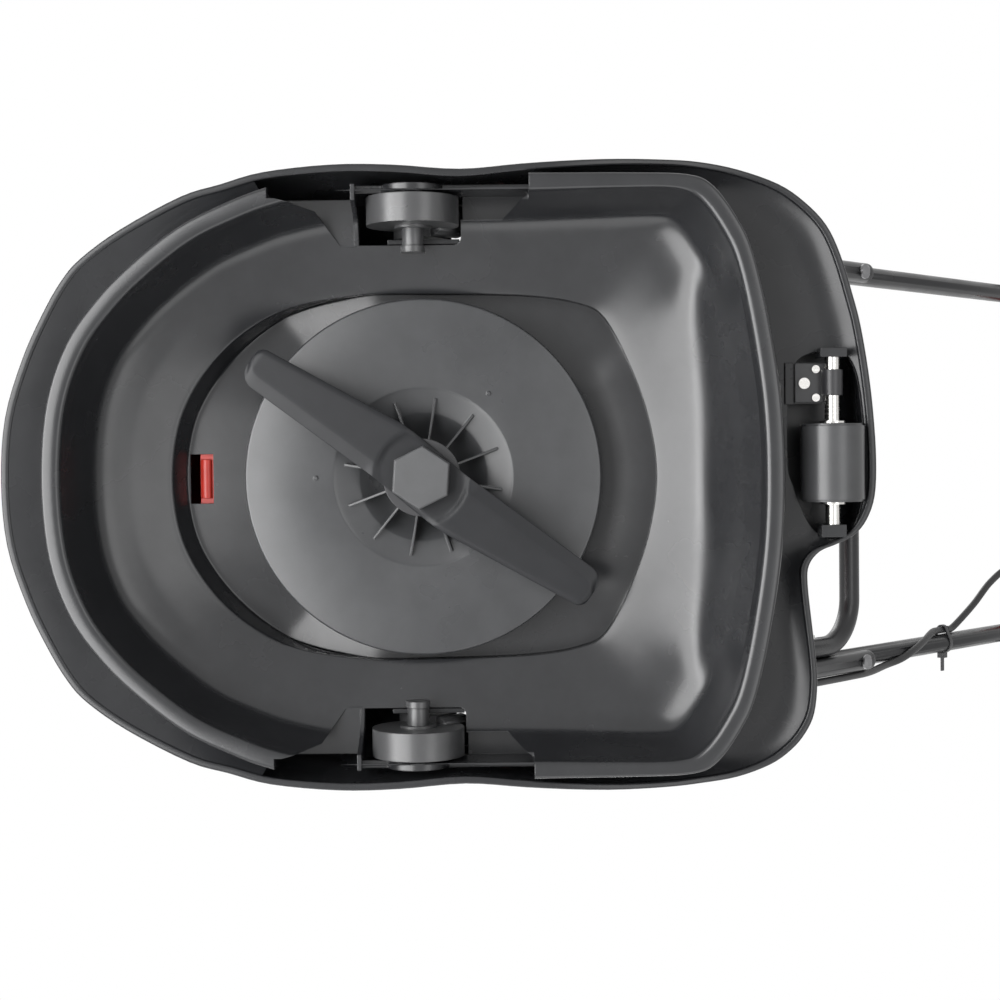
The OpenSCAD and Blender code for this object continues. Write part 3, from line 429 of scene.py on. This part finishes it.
def deck_ring(kind, value, height, back_height=None, lift=0.0):
    """Ring of the deck, with its height at the rear, where the wall leans, and its lift on the ramps."""
    if back_height is not None:
        height = height + (back_height - height) * deck_back
    height = height + lift * roof_ramp
    if kind == "rim":
        radius = deck_rim - value
    elif kind == "recess":
        radius = recess + value
    elif kind == "wall":
        radius = recess + value * wall_spread
    elif kind == "slope":
        radius = (deck_rim - 27) * (1 - value) + recess * value
    else:
        radius = value
    return ring(radius, deck_angle, height)


deck_profile = [
    ("rim", 3.5, 0), ("rim", 0.9, 0.6), ("rim", 0, 4), ("rim", 0.6, 9), ("rim", 4.0, 12.6),
    ("rim", 9.5, 13.5), ("rim", 11.5, 18, 14.6), ("rim", 17.5, 34, 19.5), ("rim", 23, 42, 26.5),
    ("rim", 37, 48, 44.5), ("slope", 0.5, 52.5),
    ("recess", 4.5, 60.7), ("recess", 2.4, 62.5), ("recess", 2.2, 76, 76, 10), ("recess", -30, 76, 76, 10),
    ("even", 60, 76), ("even", 48, 76), ("even", 48, 73), ("even", 60, 73), ("recess", -30, 73, 72.6, 10),
    ("recess", -11, 73, 69.2, 10), ("wall", -8.6, 72.9, 68.6, 10), ("wall", -6.6, 72.4, 68.4, 10),
    ("wall", -4.4, 68, 66, 5),
    ("wall", -1.0, 61), ("wall", -0.2, 59.6),
    ("wall", 0.9, 58.7), ("wall", 3.5, 57.8), ("slope", 0.5, 49), ("rim", 40, 45.9, 42),
    ("rim", 30, 41.8, 28.9), ("rim", 25, 38, 23), ("rim", 21.5, 32, 18.9), ("rim", 14.6, 11.5, 9.6),
    ("rim", 13.4, 8), ("rim", 12.6, 4.5),
    ("rim", 11.4, 1.4), ("rim", 8.8, 0)]
deck_piece = torus_skin("deck_shell", rounder([deck_ring(*p) for p in deck_profile], 2))
cavity_profile = [("rim", 11.5, -1), ("rim", 11.5, 13), ("rim", 20, 33.5), ("rim", 25.5, 41.3),
                  ("slope", 0.5, 50.8), ("recess", 1.2, 60), ("recess", 1.2, 74.5)]


def mirrored(plan, side):
    return [(side * x, y) for x, y in plan]


for side in (1, -1):
    walls = prism("walls", mirrored([
        (LEG_X + 10, -91.5), (LEG_X + 5, -91.5), (LEG_X - 1, -64.8), (LEG_X - 19.5, -51),
        (LEG_X - 19.5, 28.5), (LEG_X - 5.5, 28.5), (LEG_X - 5.5, 51.5), (LEG_X + 8, 69.5),
        (LEG_X + 14.5, 69.5), (LEG_X + 14.5, 40)], side), 14, ROOF_HIGH)
    near, far = sorted((side * (LEG_X + 12.5), side * (LEG_X + 17.7)))
    combine(walls, block("outer", (near, -40, 27), (far, 69.5, 41)), "UNION")
    boss = rod("boss", (near, *PIVOT), (far, *PIVOT), BOSS_R, 48)
    combine(boss, block("boss_room", (near - 1, -40, 10), (far + 1, 40, 41)), "INTERSECT")
    combine(walls, boss, "UNION")
    near, far = sorted((side * (LEG_X - 18), side * (LEG_X + 17)))
    combine(walls, block("rib", (near, -40, 14), (far, -37.5, 54)), "UNION")
    for x, y in ((124.5, -35), (123, 55), (55, -166), (60, 130)):
        combine(walls, rod("post", (side * x, y, 20), (side * x, y, 88), POST_R, 24), "UNION")
    combine(walls, capped_skin("cavity", [deck_ring(*p) for p in cavity_profile]), "DIFFERENCE")
    combine(deck_piece, walls, "UNION")
    front = [(LEG_X + 13, -88), (LEG_X + 8, -88), (LEG_X + 2, -62), (LEG_X - 16, -49),
             (LEG_X - 16, -40), (LEG_X + 13, -40)]
    rear = [(LEG_X - 16, -37.5), (LEG_X - 16, 20.5), (LEG_X - 15.7, 22.2), (LEG_X - 14.7, 23.7),
            (LEG_X - 13.2, 24.7), (LEG_X - 11.5, 25), (LEG_X - 2, 25), (LEG_X - 2, 50),
            (LEG_X + 10, 66), (LEG_X + 13, 66), (LEG_X + 13, -37.5)]
    for plan in (front, rear):
        combine(deck_piece, prism("pocket", mirrored(plan, side), -1, POCKET_TOP), "DIFFERENCE")
    front_roof = [(LEG_X + 12, -88.6), (LEG_X + 7.4, -88.6), (LEG_X + 1.4, -62.6), (LEG_X - 16.8, -49.4),
                  (LEG_X - 16.8, -39), (LEG_X + 12, -39)]
    rear_roof = [(LEG_X - 2.8, 26), (LEG_X - 2.8, 50.4), (LEG_X + 9.6, 66.8), (LEG_X + 13.6, 66.8),
                 (LEG_X + 13.6, 26)]
    for plan in (front_roof, rear_roof):
        combine(deck_piece, prism("roof", mirrored(plan, side), ROOF_LOW, ROOF_HIGH), "UNION")
    near, far = sorted((side * (LEG_X + 7), side * (LEG_X + 37)))
    combine(deck_piece, block("gap", (near, -88, -1), (far, 66, 14)), "DIFFERENCE")
    near, far = sorted((side * (LEG_X + 11.4), side * (LEG_X + 14)))
    combine(deck_piece, rod("pin_boss", (near, *PIVOT), (far, *PIVOT), PIN_BOSS_R), "UNION")
    bore = rod("bore", (side * (LEG_X + 5), *PIVOT), (side * (LEG_X + 30), *PIVOT), PIN_BORE_R)
    combine(deck_piece, bore, "DIFFERENCE")
combine(deck_piece, block("slot", (-15.5, -147.2, 60), (15.5, -132.9, 90)), "DIFFERENCE")
finish_piece(deck_piece, DECK, "base", ["deck"], 34.0)


# Outer cover

cover_front = [(0, -249), (38, -246), (72, -235.5), (98, -223.6), (118.5, -211.7), (132, -199.8),
               (149, -176), (168, -140), (175, -116.5), (182, -91), (186, -51), (185.6, -15),
               (182.7, 25), (185.4, 62), (188.4, 110)]
cover_tail = [(189, 145), (188, 169), (183.6, 193), (175, 217), (164, 233), (150, 246), (132, 254.5),
              (107, 262), (89, 266.5), (62, 271), (35, 274), (8, 275.5), (-14, 274.5),
              (-28.5, 269.5), (-37.5, 262), (-43, 251.5), (-47.5, 241), (-55.6, 234.5), (-67, 233.5),
              (-92, 236), (-110, 238), (-128, 239), (-146, 237), (-158, 231.5), (-168, 223),
              (-177, 210), (-184, 190), (-187, 168), (-188.5, 145)]
cover_curve = closed_curve(cover_front + cover_tail + [(-x, y) for x, y in cover_front[:0:-1]], 4)
cover_angle = np.arctan2(cover_curve[:, 1], cover_curve[:, 0])
cover_rim = np.hypot(cover_curve[:, 0], cover_curve[:, 1])
rim_height = 8 + 22 * smoothstep((cover_curve[:, 1] - 60) / 150)
COVER_TOP = 94.0
LEG_ROOM = 9.2
LEG_REACH = 130
HUB_ROOM_R = 38.8
AXLE = (248.6, 30)
AXLE_BORE_R = 4.55


def oval(angles, a, front, rear, power):
    b = np.where(np.sin(angles) < 0, front, rear)
    return (np.abs(np.cos(angles) / a) ** power + np.abs(np.sin(angles) / b) ** power) ** (-1 / power)


seat = oval(cover_angle, 122, 172, 136, 2.4)


def cover_ring(t, f, inset, lift):
    radius = cover_rim * (1 - t) + seat * t - inset
    return ring(radius, cover_angle, rim_height + (COVER_TOP - rim_height) * f + lift)


cover_profile = [
    (0, 0, 1.4, 0), (0, 0, 0.3, 0.6), (0, 0, 0, 2.4), (0, 0, 0, 8.5), (0.03, 0.3, 0, 0),
    (0.09, 0.5, 0, 0), (0.2, 0.69, 0, 0), (0.36, 0.84, 0, 0), (0.57, 0.955, 0, 0), (0.76, 1, 0, 0),
    (1, 1, 0, 0), (1, 1, 0, -0.2), (1, 1, 0, -2.8), (1, 1, 0, -3), (0.75, 1, 0, -3),
    (0.57, 0.955, 0.8, -3), (0.36, 0.84, 1.6, -2.7), (0.2, 0.69, 2.4, -2), (0.09, 0.5, 2.8, -1.2),
    (0.03, 0.3, 3, -0.5), (0, 0, 3.3, 8.5), (0, 0, 4.6, 3.4), (0, 0, 4.9, 1.2), (0, 0, 4.4, 0)]
cover_piece = torus_skin("cover_shell", rounder([cover_ring(*p) for p in cover_profile], 2))
for side in (1, -1):
    near, far = sorted((side * (LEG_X - 9), side * (LEG_X + 9)))
    slot_plan = [(PIVOT[0] + y, PIVOT[1] + z) for y, z in [
        (LEG_ROOM * math.sin(LEAN), -LEG_ROOM * math.cos(LEAN)),
        (LEG_ROOM * math.sin(LEAN) + LEG_REACH * math.cos(LEAN),
         -LEG_ROOM * math.cos(LEAN) + LEG_REACH * math.sin(LEAN)),
        (-LEG_ROOM, LEG_REACH * math.sin(LEAN)), (-LEG_ROOM, 0.0)]]
    combine(cover_piece, prism_across("leg_slot", slot_plan, near, far), "DIFFERENCE")
    for outer_x, radius in ((10.6, HUB_ROOM_R), (8.0, 40.0)):
        combine(cover_piece, rod("hub_room", (side * (LEG_X - 12.2), *PIVOT),
                                 (side * (LEG_X + outer_x), *PIVOT), radius, 72), "DIFFERENCE")

# Dished panel that closes the tail, between the cover's rim and the deck
order = np.flatnonzero(cover_curve[:, 1] > 80)
tail_angle, tail_rim, tail_z = cover_angle[order], cover_rim[order], rim_height[order]
tail_y = cover_curve[order, 1]
inner = reach(deck_curve, tail_angle) - 16.0
deep = 36.5 + 34.0 * (1 - smoothstep((tail_y - 80) / 45))
lower, upper = [], []
for s in np.linspace(0.0, 1.0, 14) ** 1.6:
    radius = (tail_rim - 4.2) * (1 - s) + inner * s
    run = np.minimum((tail_rim - 4.2 - radius) / 17.0, 1.0)
    height = tail_z + 1.2 + (deep - tail_z - 1.2) * (1 - (1 - run) ** 2)
    lower.append(ring(radius, tail_angle, height))
    upper.append(ring(radius, tail_angle, height + 2.4))
panel = strip_skin("tail_panel", lower, upper)
pocket_curve = closed_curve([
    (73.4, 238.3), (69.1, 229.2), (59.4, 224.4), (41.2, 222.6), (4.8, 222.6), (-7.3, 225.6),
    (-25.5, 232.3), (-34.6, 238.3), (-39.5, 246.2), (-38.3, 256.5), (-30.4, 263.4), (-16.4, 267.6),
    (4.8, 268.8), (35.1, 267.8), (59.4, 264.4), (71.6, 258.6), (74.6, 250.5)], 4)
middle = np.array([17.0, 246.0])
combine(panel, prism("pocket", [tuple(p) for p in pocket_curve], 20, 60), "DIFFERENCE")
wide = [tuple(middle + (p - middle) * (1 + 2.2 / np.linalg.norm(p - middle))) for p in pocket_curve]
sides = prism("pocket_sides", wide, 37.5, 62)
combine(sides, prism("pocket_hole", [tuple(p) for p in pocket_curve], 30, 60), "DIFFERENCE")
seats = [block("seat_low", (-38.5, 240.6, 23), (-31, 255.6, 44)),
         block("seat_high", (70, 240.6, 24), (75.5, 256.6, 43)),
         block("ledge", (42, 221, 35.1), (67, 243.1, 46))]
for seat_piece in seats[:2]:
    combine(seat_piece, rod("axle_bore", (-60, *AXLE), (90, *AXLE), AXLE_BORE_R), "DIFFERENCE")

# Sloped skirt from the front lip to behind the deck's rim
order = np.flatnonzero(cover_curve[:, 1] < -94)
order = order[np.argsort(cover_angle[order])]
skirt_in = reach(deck_curve, cover_angle[order]) - 3.0
lower, upper = [], []
for s in np.linspace(0.0, 1.0, 9):
    radius = (cover_rim[order] - 4.2) * (1 - s) + skirt_in * s
    height = (rim_height[order] + 0.6) * (1 - s) + 15.0 * s + 0.8 * math.sin(math.pi * s)
    lower.append(ring(radius, cover_angle[order], height))
    upper.append(ring(radius, cover_angle[order], height + 2.6))
skirt = strip_skin("front_skirt", lower, upper)
lip_plan = [(-15.8, 62.6), (-11, 79), (-8, 81), (42, 82), (47, 80), (55.7, 62.6)]
for side in (1, -1):
    near, far = sorted((side * (LEG_X - 15.4), side * (LEG_X - 12.6)))
    seats.append(block("drum_wall", (near, -20, 46), (far, 24, 89.5)))
    near, far = sorted((side * (LEG_X + 9), side * (LEG_X + 12.4)))
    lip = prism_across("slot_lip", lip_plan, near, far)
    room_near, room_far = sorted((side * (LEG_X + 5), side * (LEG_X + 10.6)))
    room = rod("hub_room", (room_near, *PIVOT), (room_far, *PIVOT), HUB_ROOM_R, 72)
    seats.append(combine(lip, room, "DIFFERENCE"))
join(cover_piece, [panel, sides, skirt] + seats)
finish_piece(cover_piece, COVER, "base", ["cover"], 34.0)

# Motor hood

hood_angle = np.arange(144) * 2 * math.pi / 144
hood_rim = oval(hood_angle, 136, 186, 150, 2.4)


def hood_ring(q, f, inset, lift):
    return ring(46 * (1 - q) + hood_rim * q - inset, hood_angle, COVER_TOP + 96 * f + lift)


hood_profile = [
    (1, 0, 0, 0.05), (1, 0, 0, 0.4), (0.995, 0.12, 0, 0), (0.97, 0.34, 0, 0), (0.91, 0.56, 0, 0),
    (0.8, 0.75, 0, 0), (0.62, 0.9, 0, 0), (0.35, 0.98, 0, 0), (0.02, 1, 0, 0), (0, 1, 0, 0),
    (0, 1, 0, -0.5), (0, 1, 0, -2.6), (0.35, 0.98, 0.4, -2.6), (0.62, 0.9, 1, -2.3),
    (0.8, 0.75, 1.8, -1.8), (0.91, 0.56, 2.4, -1), (0.97, 0.34, 2.7, -0.5), (0.995, 0.12, 2.8, 0),
    (1, 0, 2.8, 0.4), (1, 0, 2.8, 0.05)]
hood_piece = torus_skin("hood_shell", rounder([hood_ring(*p) for p in hood_profile], 2))
finish_piece(hood_piece, RED, "base", ["hood"], 34.0)


# Blade: two arms below a flat middle, each with a ground edge, a rolled back and a round tip

BLADE_HALF = 125.0
BLADE_FLAT = 28.0
blade_turn = math.radians(35.6)


def tip_bite(y, radius):
    """What a corner of that radius takes off the arm's edge at the tip."""
    over = max(y - (BLADE_HALF - radius), 0.0)
    return radius - math.sqrt(max(radius * radius - over * over, 0.0))


def arm_edges(y):
    """Cutting side and back of the arm that points to +Y."""
    cut = 17.0 - 2.5 * y / BLADE_HALF
    rear_edge = -20.0 + 11.0 * min(max((y - BLADE_FLAT) / 97.0, 0.0), 1.0)
    return cut - tip_bite(y, 10.0), rear_edge + tip_bite(y, 5.5)


stations = np.concatenate([np.linspace(0, 22, 8), np.linspace(23, 34, 16), np.linspace(36, 112, 30),
                           BLADE_HALF - 13 * (1 - np.linspace(0.05, 1, 14)) ** 2])
stations = np.concatenate([-stations[:0:-1], stations])
under, over_side = [], []
for y in stations:
    cut, rear_edge = arm_edges(abs(y))
    if abs(y) < BLADE_FLAT:
        share = float(smoothstep((abs(y) + BLADE_FLAT) / (2 * BLADE_FLAT)))
        cut = 20.0 * (1 - share) + cut * share
        rear_edge = -(17.0 * (1 - share) + 20.0 * share)
    wide = cut - rear_edge
    k = min(1.0, wide / 17.0)
    near = [cut - d * k for d in (0, 1.6, 3.4, 5.4, 7.4, 8.1)]
    far = [rear_edge + d * k for d in (4.0, 2.8, 1.8, 0.9, 0.3, 0)]
    xs = near + list(np.linspace(near[-1], far[0], 9)[1:-1]) + far
    low_row, high_row = [], []
    for x in xs:
        r = math.hypot(x, y)
        base = 27.0 - 1.6 * float(smoothstep((r - 25.5) / 4.5))
        grind = float(smoothstep((abs(y) - 22) / 10)) * max(0.0, 1 - (cut - x) / (7.7 * k))
        roll_up = max(0.0, 1 - (x - rear_edge) / (3.6 * k)) ** 2
        tip = max(0.0, 1 - (BLADE_HALF - abs(y)) / 4.5) ** 2
        rise = min(2.3, 2.1 * grind + 1.3 * roll_up + 1.6 * tip)
        px = x if y >= 0 else -x
        wx = px * math.cos(blade_turn) - y * math.sin(blade_turn)
        wy = px * math.sin(blade_turn) + y * math.cos(blade_turn)
        low_row.append((wx, wy, base + rise))
        high_row.append((wx, wy, base + 2.9))
    if y < 0:
        low_row, high_row = low_row[::-1], high_row[::-1]
    under.append(low_row)
    over_side.append(high_row[::-1])
loops = np.concatenate([np.array(under), np.array(over_side)], axis=1)
blade_piece = capped_skin("blade_plate", loops)
finish_piece(blade_piece, BLADE, "rotor", ["blade"], 40.0)

# Impeller: a thin disc with a soft dish round its hub, ribs below and fan vanes above

IMPELLER_R = 110.0
SHAFT_BORE_R = 5.05
RIBS, VANES = 12, 10
disc_profile = [
    (SHAFT_BORE_R, 34), (19, 34), (20, 35), (20, 62), (24, 61.7), (28, 60.5), (32, 58.4),
    (36, 55.9), (39.5, 53.9), (46, 52.5), (52, 51.1), (54.6, 50.4), (55.4, 50),
    (IMPELLER_R - 1, 50), (IMPELLER_R, 51), (IMPELLER_R, 53),
    (59, 53), (53, 53.3), (48, 54.1), (44.6, 55.4), (41, 57.6), (37, 60.8), (33, 63.6), (29, 65.4),
    (24, 66.4), (24, 69), (SHAFT_BORE_R, 69)]
disc_angle = np.arange(120) * 2 * math.pi / 120
disc_rings = []
for (r1, z1), (r2, z2) in zip(disc_profile, disc_profile[1:] + disc_profile[:1]):
    keep = min(0.25, 0.6 / max(math.hypot(r2 - r1, z2 - z1), 0.01))
    for s in (keep, 1 - keep):
        disc_rings.append(ring(r1 + (r2 - r1) * s, disc_angle, z1 + (z2 - z1) * s))
disc_piece = torus_skin("impeller_disc", np.array(disc_rings))
rib_plan = [(19, 45), (32, 48.4), (47, 50.0), (49, 50.6), (49, 52.2), (44, 54), (36, 58.5), (19, 63.5)]


def turned(points, degrees):
    c, s = math.cos(math.radians(degrees)), math.sin(math.radians(degrees))
    return [(x * c - y * s, x * s + y * c, z) for x, y, z in points]


details = []
for i in range(RIBS):
    sides = [turned([(r, w, z) for r, z in rib_plan], i * 360 / RIBS + 9.5) for w in (-0.7, 0.7)]
    details.append(capped_skin("rib", sides))
for i in range(VANES):
    c, s = math.cos(math.radians(24)), math.sin(math.radians(24))
    plan = [(56 + a * c - b * s, a * s + b * c) for a, b in ((0, 0), (46, 0), (46, 1.8), (0, 1.8))]
    sides = [turned([(x, y, z) for x, y in plan], i * 360 / VANES) for z in (52, 69)]
    details.append(capped_skin("vane", sides))
for x, y in ((51, 41), (0, -66)):
    lathe = np.arange(20) * 2 * math.pi / 20
    centre = np.array([x, y, 0])
    sides = [ring(r, lathe, z) + centre for r, z in ((1.1, 49.2), (1.8, 51.2))]
    details.append(capped_skin("pip", sides))
join(disc_piece, details)
finish_piece(disc_piece, DISC, "rotor", ["impeller"], 30.0)

# Motor lead in two lengths and the foam sleeve of the grip

WRAP_LOW, WRAP_HIGH = 560.0, 673.0
WRAP_R = 11.5
TUBE_RISE = 16.3
LEAD_R = 3.0
GRIP_AT = 1120


def on_handle(x, v, w):
    """Point given across, along and above the handle's lower legs."""
    return np.array([x, PIVOT[0] + v * math.cos(LEAN) - w * math.sin(LEAN),
                     PIVOT[1] + v * math.sin(LEAN) + w * math.cos(LEAN)])


def round_tube(v, degrees):
    a = math.radians(degrees)
    return (-LEG_X + WRAP_R * math.cos(a), v, TUBE_RISE + WRAP_R * math.sin(a))


def open_curve(points, n):
    p = np.array(points, float)
    p = np.vstack([2 * p[0] - p[1], p, 2 * p[-1] - p[-2]])
    out = []
    for i in range(1, len(p) - 2):
        for j in range(n):
            out.append(blend4(p[i - 1], p[i], p[i + 1], p[i + 2], j / n))
    out.append(p[-2])
    return np.array(out)


def tube_along(name, path, radius, steps=20):
    """Round skin along a path, with its frame carried from point to point."""
    aim = np.gradient(path, axis=0)
    aim /= np.linalg.norm(aim, axis=1)[:, None]
    side = np.cross(aim[0], (1.0, 0.0, 0.0))
    turn = np.arange(steps) * 2 * math.pi / steps
    rings = []
    for k in range(len(path)):
        side = side - aim[k] * side.dot(aim[k])
        side /= np.linalg.norm(side)
        other = np.cross(aim[k], side)
        r = radius[k] if np.ndim(radius) else radius
        rings.append(path[k] + r * (np.outer(np.cos(turn), side) + np.outer(np.sin(turn), other)))
    return capped_skin(name, rings)


def wrapped(share, degrees):
    return round_tube(WRAP_LOW + (WRAP_HIGH - WRAP_LOW) * share, degrees)


low_points = [(-176.6, 20, 10), (-176.6, 36, 10), (-176.6, 44, 10), (-174, 64, 7), (-170.5, 92, 2.5)]
low_points += [(-169.5, v, 0) for v in (125, 220, 320, 420)] + [(-169.5, 490, 1), (-169.5, 525, 4)]
low_points += [wrapped(s, a) for s, a in (
    (0, 215), (0.17, 240), (0.33, 270), (0.5, 300), (0.66, 330), (0.78, 352), (0.88, 360), (1, 360))]
high_points = [round_tube(673.6, 360), round_tube(683, 360), (-139, 697, 14.5), (-126, 718, 12),
               (-108, 741, 8), (-96, 770, 4), (-92, 825, 1), (-94, 863, 0), (-104, 901, 0),
               (-123, 931, 1), (-146, 952, 2), (-160, 965, 2), (-160, 973, 2), (-160, 981, 2)]
lead_low = tube_along("lead_run_lower", open_curve([on_handle(*p) for p in low_points], 8), LEAD_R)
finish_piece(lead_low, RUBBER, None, ["lead_lower"], 50.0)
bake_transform(lead_low)
lead_high = tube_along("lead_run_upper", open_curve([on_handle(*p) for p in high_points], 8), LEAD_R)
finish_piece(lead_high, RUBBER, None, ["lead_upper"], 50.0)
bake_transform(lead_high)

grip_turn = np.arange(48) * 2 * math.pi / 48
grip_rings = []
grip_axis = on_handle(0, GRIP_AT, TUBE_RISE)
grip_side = np.array([0.0, math.cos(LEAN), math.sin(LEAN)])
grip_top = np.array([0.0, -math.sin(LEAN), math.cos(LEAN)])
grip_line = [(-94.4, 8.4), (-94.9, 9.4), (-94.4, 11.4), (-92.6, 12.5), (-89.5, 12.9)]
grip_line += [(x, 12.9 - 0.35 * math.cos(x * math.pi / 24.0) ** 2) for x in np.linspace(-84, 84, 57)]
grip_line += [(-x, r) for x, r in grip_line[4::-1]]
grip_line += [(x, 8.2) for x in np.linspace(94.0, -94.0, 9)]
for x, r in grip_line:
    loop = r * (np.outer(np.cos(grip_turn), grip_side) + np.outer(np.sin(grip_turn), grip_top))
    grip_rings.append(grip_axis + np.array([x, 0.0, 0.0]) + loop)
grip = torus_skin("grip_sleeve", np.array(grip_rings))
finish_piece(grip, FOAM, "upper_handle", ["foam_grip"], 60.0)

# Camera, below the mower as it stands, looking straight up into the deck

camera_data = bpy.data.cameras.new("camera")
camera = bpy.data.objects.new("camera", camera_data)
scene.collection.objects.link(camera)
camera_data.sensor_width = 36.0
camera_data.lens = 64.26
camera_data.clip_start = 0.01
roll = math.radians(0.61)
tilt = math.radians(1.47)
level_up = Vector((math.cos(tilt), 0.0, math.sin(tilt)))
level_right = Vector((0.0, 1.0, 0.0))
right = level_right * math.cos(roll) - level_up * math.sin(roll)
up = level_up * math.cos(roll) + level_right * math.sin(roll)
back = right.cross(up)
turn = Matrix((right, up, back)).transposed().to_4x4()
camera.matrix_world = Matrix.Translation((0.0136, 0.0472, -1.050)) @ turn
scene.camera = camera


# Stage: a pale floor that is solid only from above, and soft lights above and below

def one_sided(name, colour, glow):
    """Paint that shows from above only, with a glow that grows away from the object."""
    mat = bpy.data.materials.new(name)
    mat.use_nodes = True
    nodes, links = mat.node_tree.nodes, mat.node_tree.links
    shader = nodes["Principled BSDF"]
    shader.inputs["Base Color"].default_value = (*colour, 1.0)
    shader.inputs["Roughness"].default_value = 0.9
    shader.inputs["Emission Color"].default_value = (1.0, 1.0, 1.0, 1.0)
    coord = nodes.new("ShaderNodeTexCoord")
    away = nodes.new("ShaderNodeVectorMath")
    away.operation = "LENGTH"
    links.new(coord.outputs["Object"], away.inputs[0])
    fade = nodes.new("ShaderNodeMapRange")
    fade.inputs["From Min"].default_value = 0.9
    fade.inputs["From Max"].default_value = 3.2
    fade.inputs["To Min"].default_value = glow[0]
    fade.inputs["To Max"].default_value = glow[1]
    links.new(away.outputs["Value"], fade.inputs["Value"])
    links.new(fade.outputs["Result"], shader.inputs["Emission Strength"])
    out = nodes["Material Output"]
    clear = nodes.new("ShaderNodeBsdfTransparent")
    geometry = nodes.new("ShaderNodeNewGeometry")
    path = nodes.new("ShaderNodeLightPath")
    front = nodes.new("ShaderNodeMath")
    front.operation = "SUBTRACT"
    front.inputs[0].default_value = 1.0
    links.new(geometry.outputs["Backfacing"], front.inputs[1])
    seen = nodes.new("ShaderNodeMath")
    seen.operation = "MULTIPLY"
    links.new(front.outputs["Value"], seen.inputs[0])
    links.new(path.outputs["Is Camera Ray"], seen.inputs[1])
    mix = nodes.new("ShaderNodeMixShader")
    links.new(seen.outputs["Value"], mix.inputs["Fac"])
    links.new(clear.outputs["BSDF"], mix.inputs[1])
    links.new(shader.outputs["BSDF"], mix.inputs[2])
    links.new(mix.outputs["Shader"], out.inputs["Surface"])
    return mat


def plane(name, size, matrix, material):
    mesh = bpy.data.meshes.new(name)
    h = size / 2
    mesh.from_pydata([(-h, -h, 0), (h, -h, 0), (h, h, 0), (-h, h, 0)], [], [(0, 1, 2, 3)])
    mesh.materials.append(material)
    obj = bpy.data.objects.new(name, mesh)
    obj.matrix_world = matrix
    scene.collection.objects.link(obj)


FLOOR = one_sided("floor_paint", (0.86, 0.86, 0.86), (0.2, 0.85))
plane("floor", 30.0, Matrix.Translation((0.0, 0.2, -0.0004)), FLOOR)


def lamp(name, place, target, size, power, size_y=None):
    data = bpy.data.lights.new(name, "AREA")
    data.energy = power
    data.size = size
    if size_y:
        data.shape = "RECTANGLE"
        data.size_y = size_y
    obj = bpy.data.objects.new(name, data)
    scene.collection.objects.link(obj)
    obj.location = place
    obj.rotation_mode = "QUATERNION"
    aim = Vector(target) - Vector(place)
    obj.rotation_quaternion = aim.to_track_quat("-Z", "Y")


lamp("key_above", (1.6, -1.2, 2.6), (0.0, 0.1, 0.2), 2.2, 60.0)
lamp("fill_above", (-1.8, -0.6, 2.0), (0.0, 0.2, 0.2), 2.0, 30.0)
lamp("key_below", (0.0, -0.86, -1.12), (0.0, 0.05, 0.05), 1.7, 36.0, 0.95)
lamp("side_below", (0.0, -1.35, -0.75), (0.0, 0.05, 0.05), 1.2, 16.0, 0.5)
lamp("bounce", (-1.2, 0.35, -0.52), (0.0, 0.3, 0.15), 1.8, 6.5, 0.8)
lamp("front_below", (0.0, 0.85, -1.20), (0.0, -0.1, 0.03), 1.6, 7.0, 0.6)

world = bpy.data.worlds.new("studio")
scene.world = world
world.use_nodes = True
wn, wl = world.node_tree.nodes, world.node_tree.links
background = wn["Background"]
background.inputs["Color"].default_value = (1.0, 1.0, 1.0, 1.0)
background.inputs["Strength"].default_value = 0.25
white = wn.new("ShaderNodeBackground")
white.inputs["Color"].default_value = (1.0, 1.0, 1.0, 1.0)
white.inputs["Strength"].default_value = 1.0
path = wn.new("ShaderNodeLightPath")
mix = wn.new("ShaderNodeMixShader")
shown = wn.new("ShaderNodeMath")
shown.operation = "MAXIMUM"
wl.new(path.outputs["Is Camera Ray"], shown.inputs[0])
wl.new(path.outputs["Is Glossy Ray"], shown.inputs[1])
through = wn.new("ShaderNodeMath")
through.operation = "MAXIMUM"
wl.new(shown.outputs["Value"], through.inputs[0])
wl.new(path.outputs["Is Transmission Ray"], through.inputs[1])
wl.new(through.outputs["Value"], mix.inputs["Fac"])
wl.new(background.outputs["Background"], mix.inputs[1])
wl.new(white.outputs["Background"], mix.inputs[2])
wl.new(mix.outputs["Shader"], wn["World Output"].inputs["Surface"])
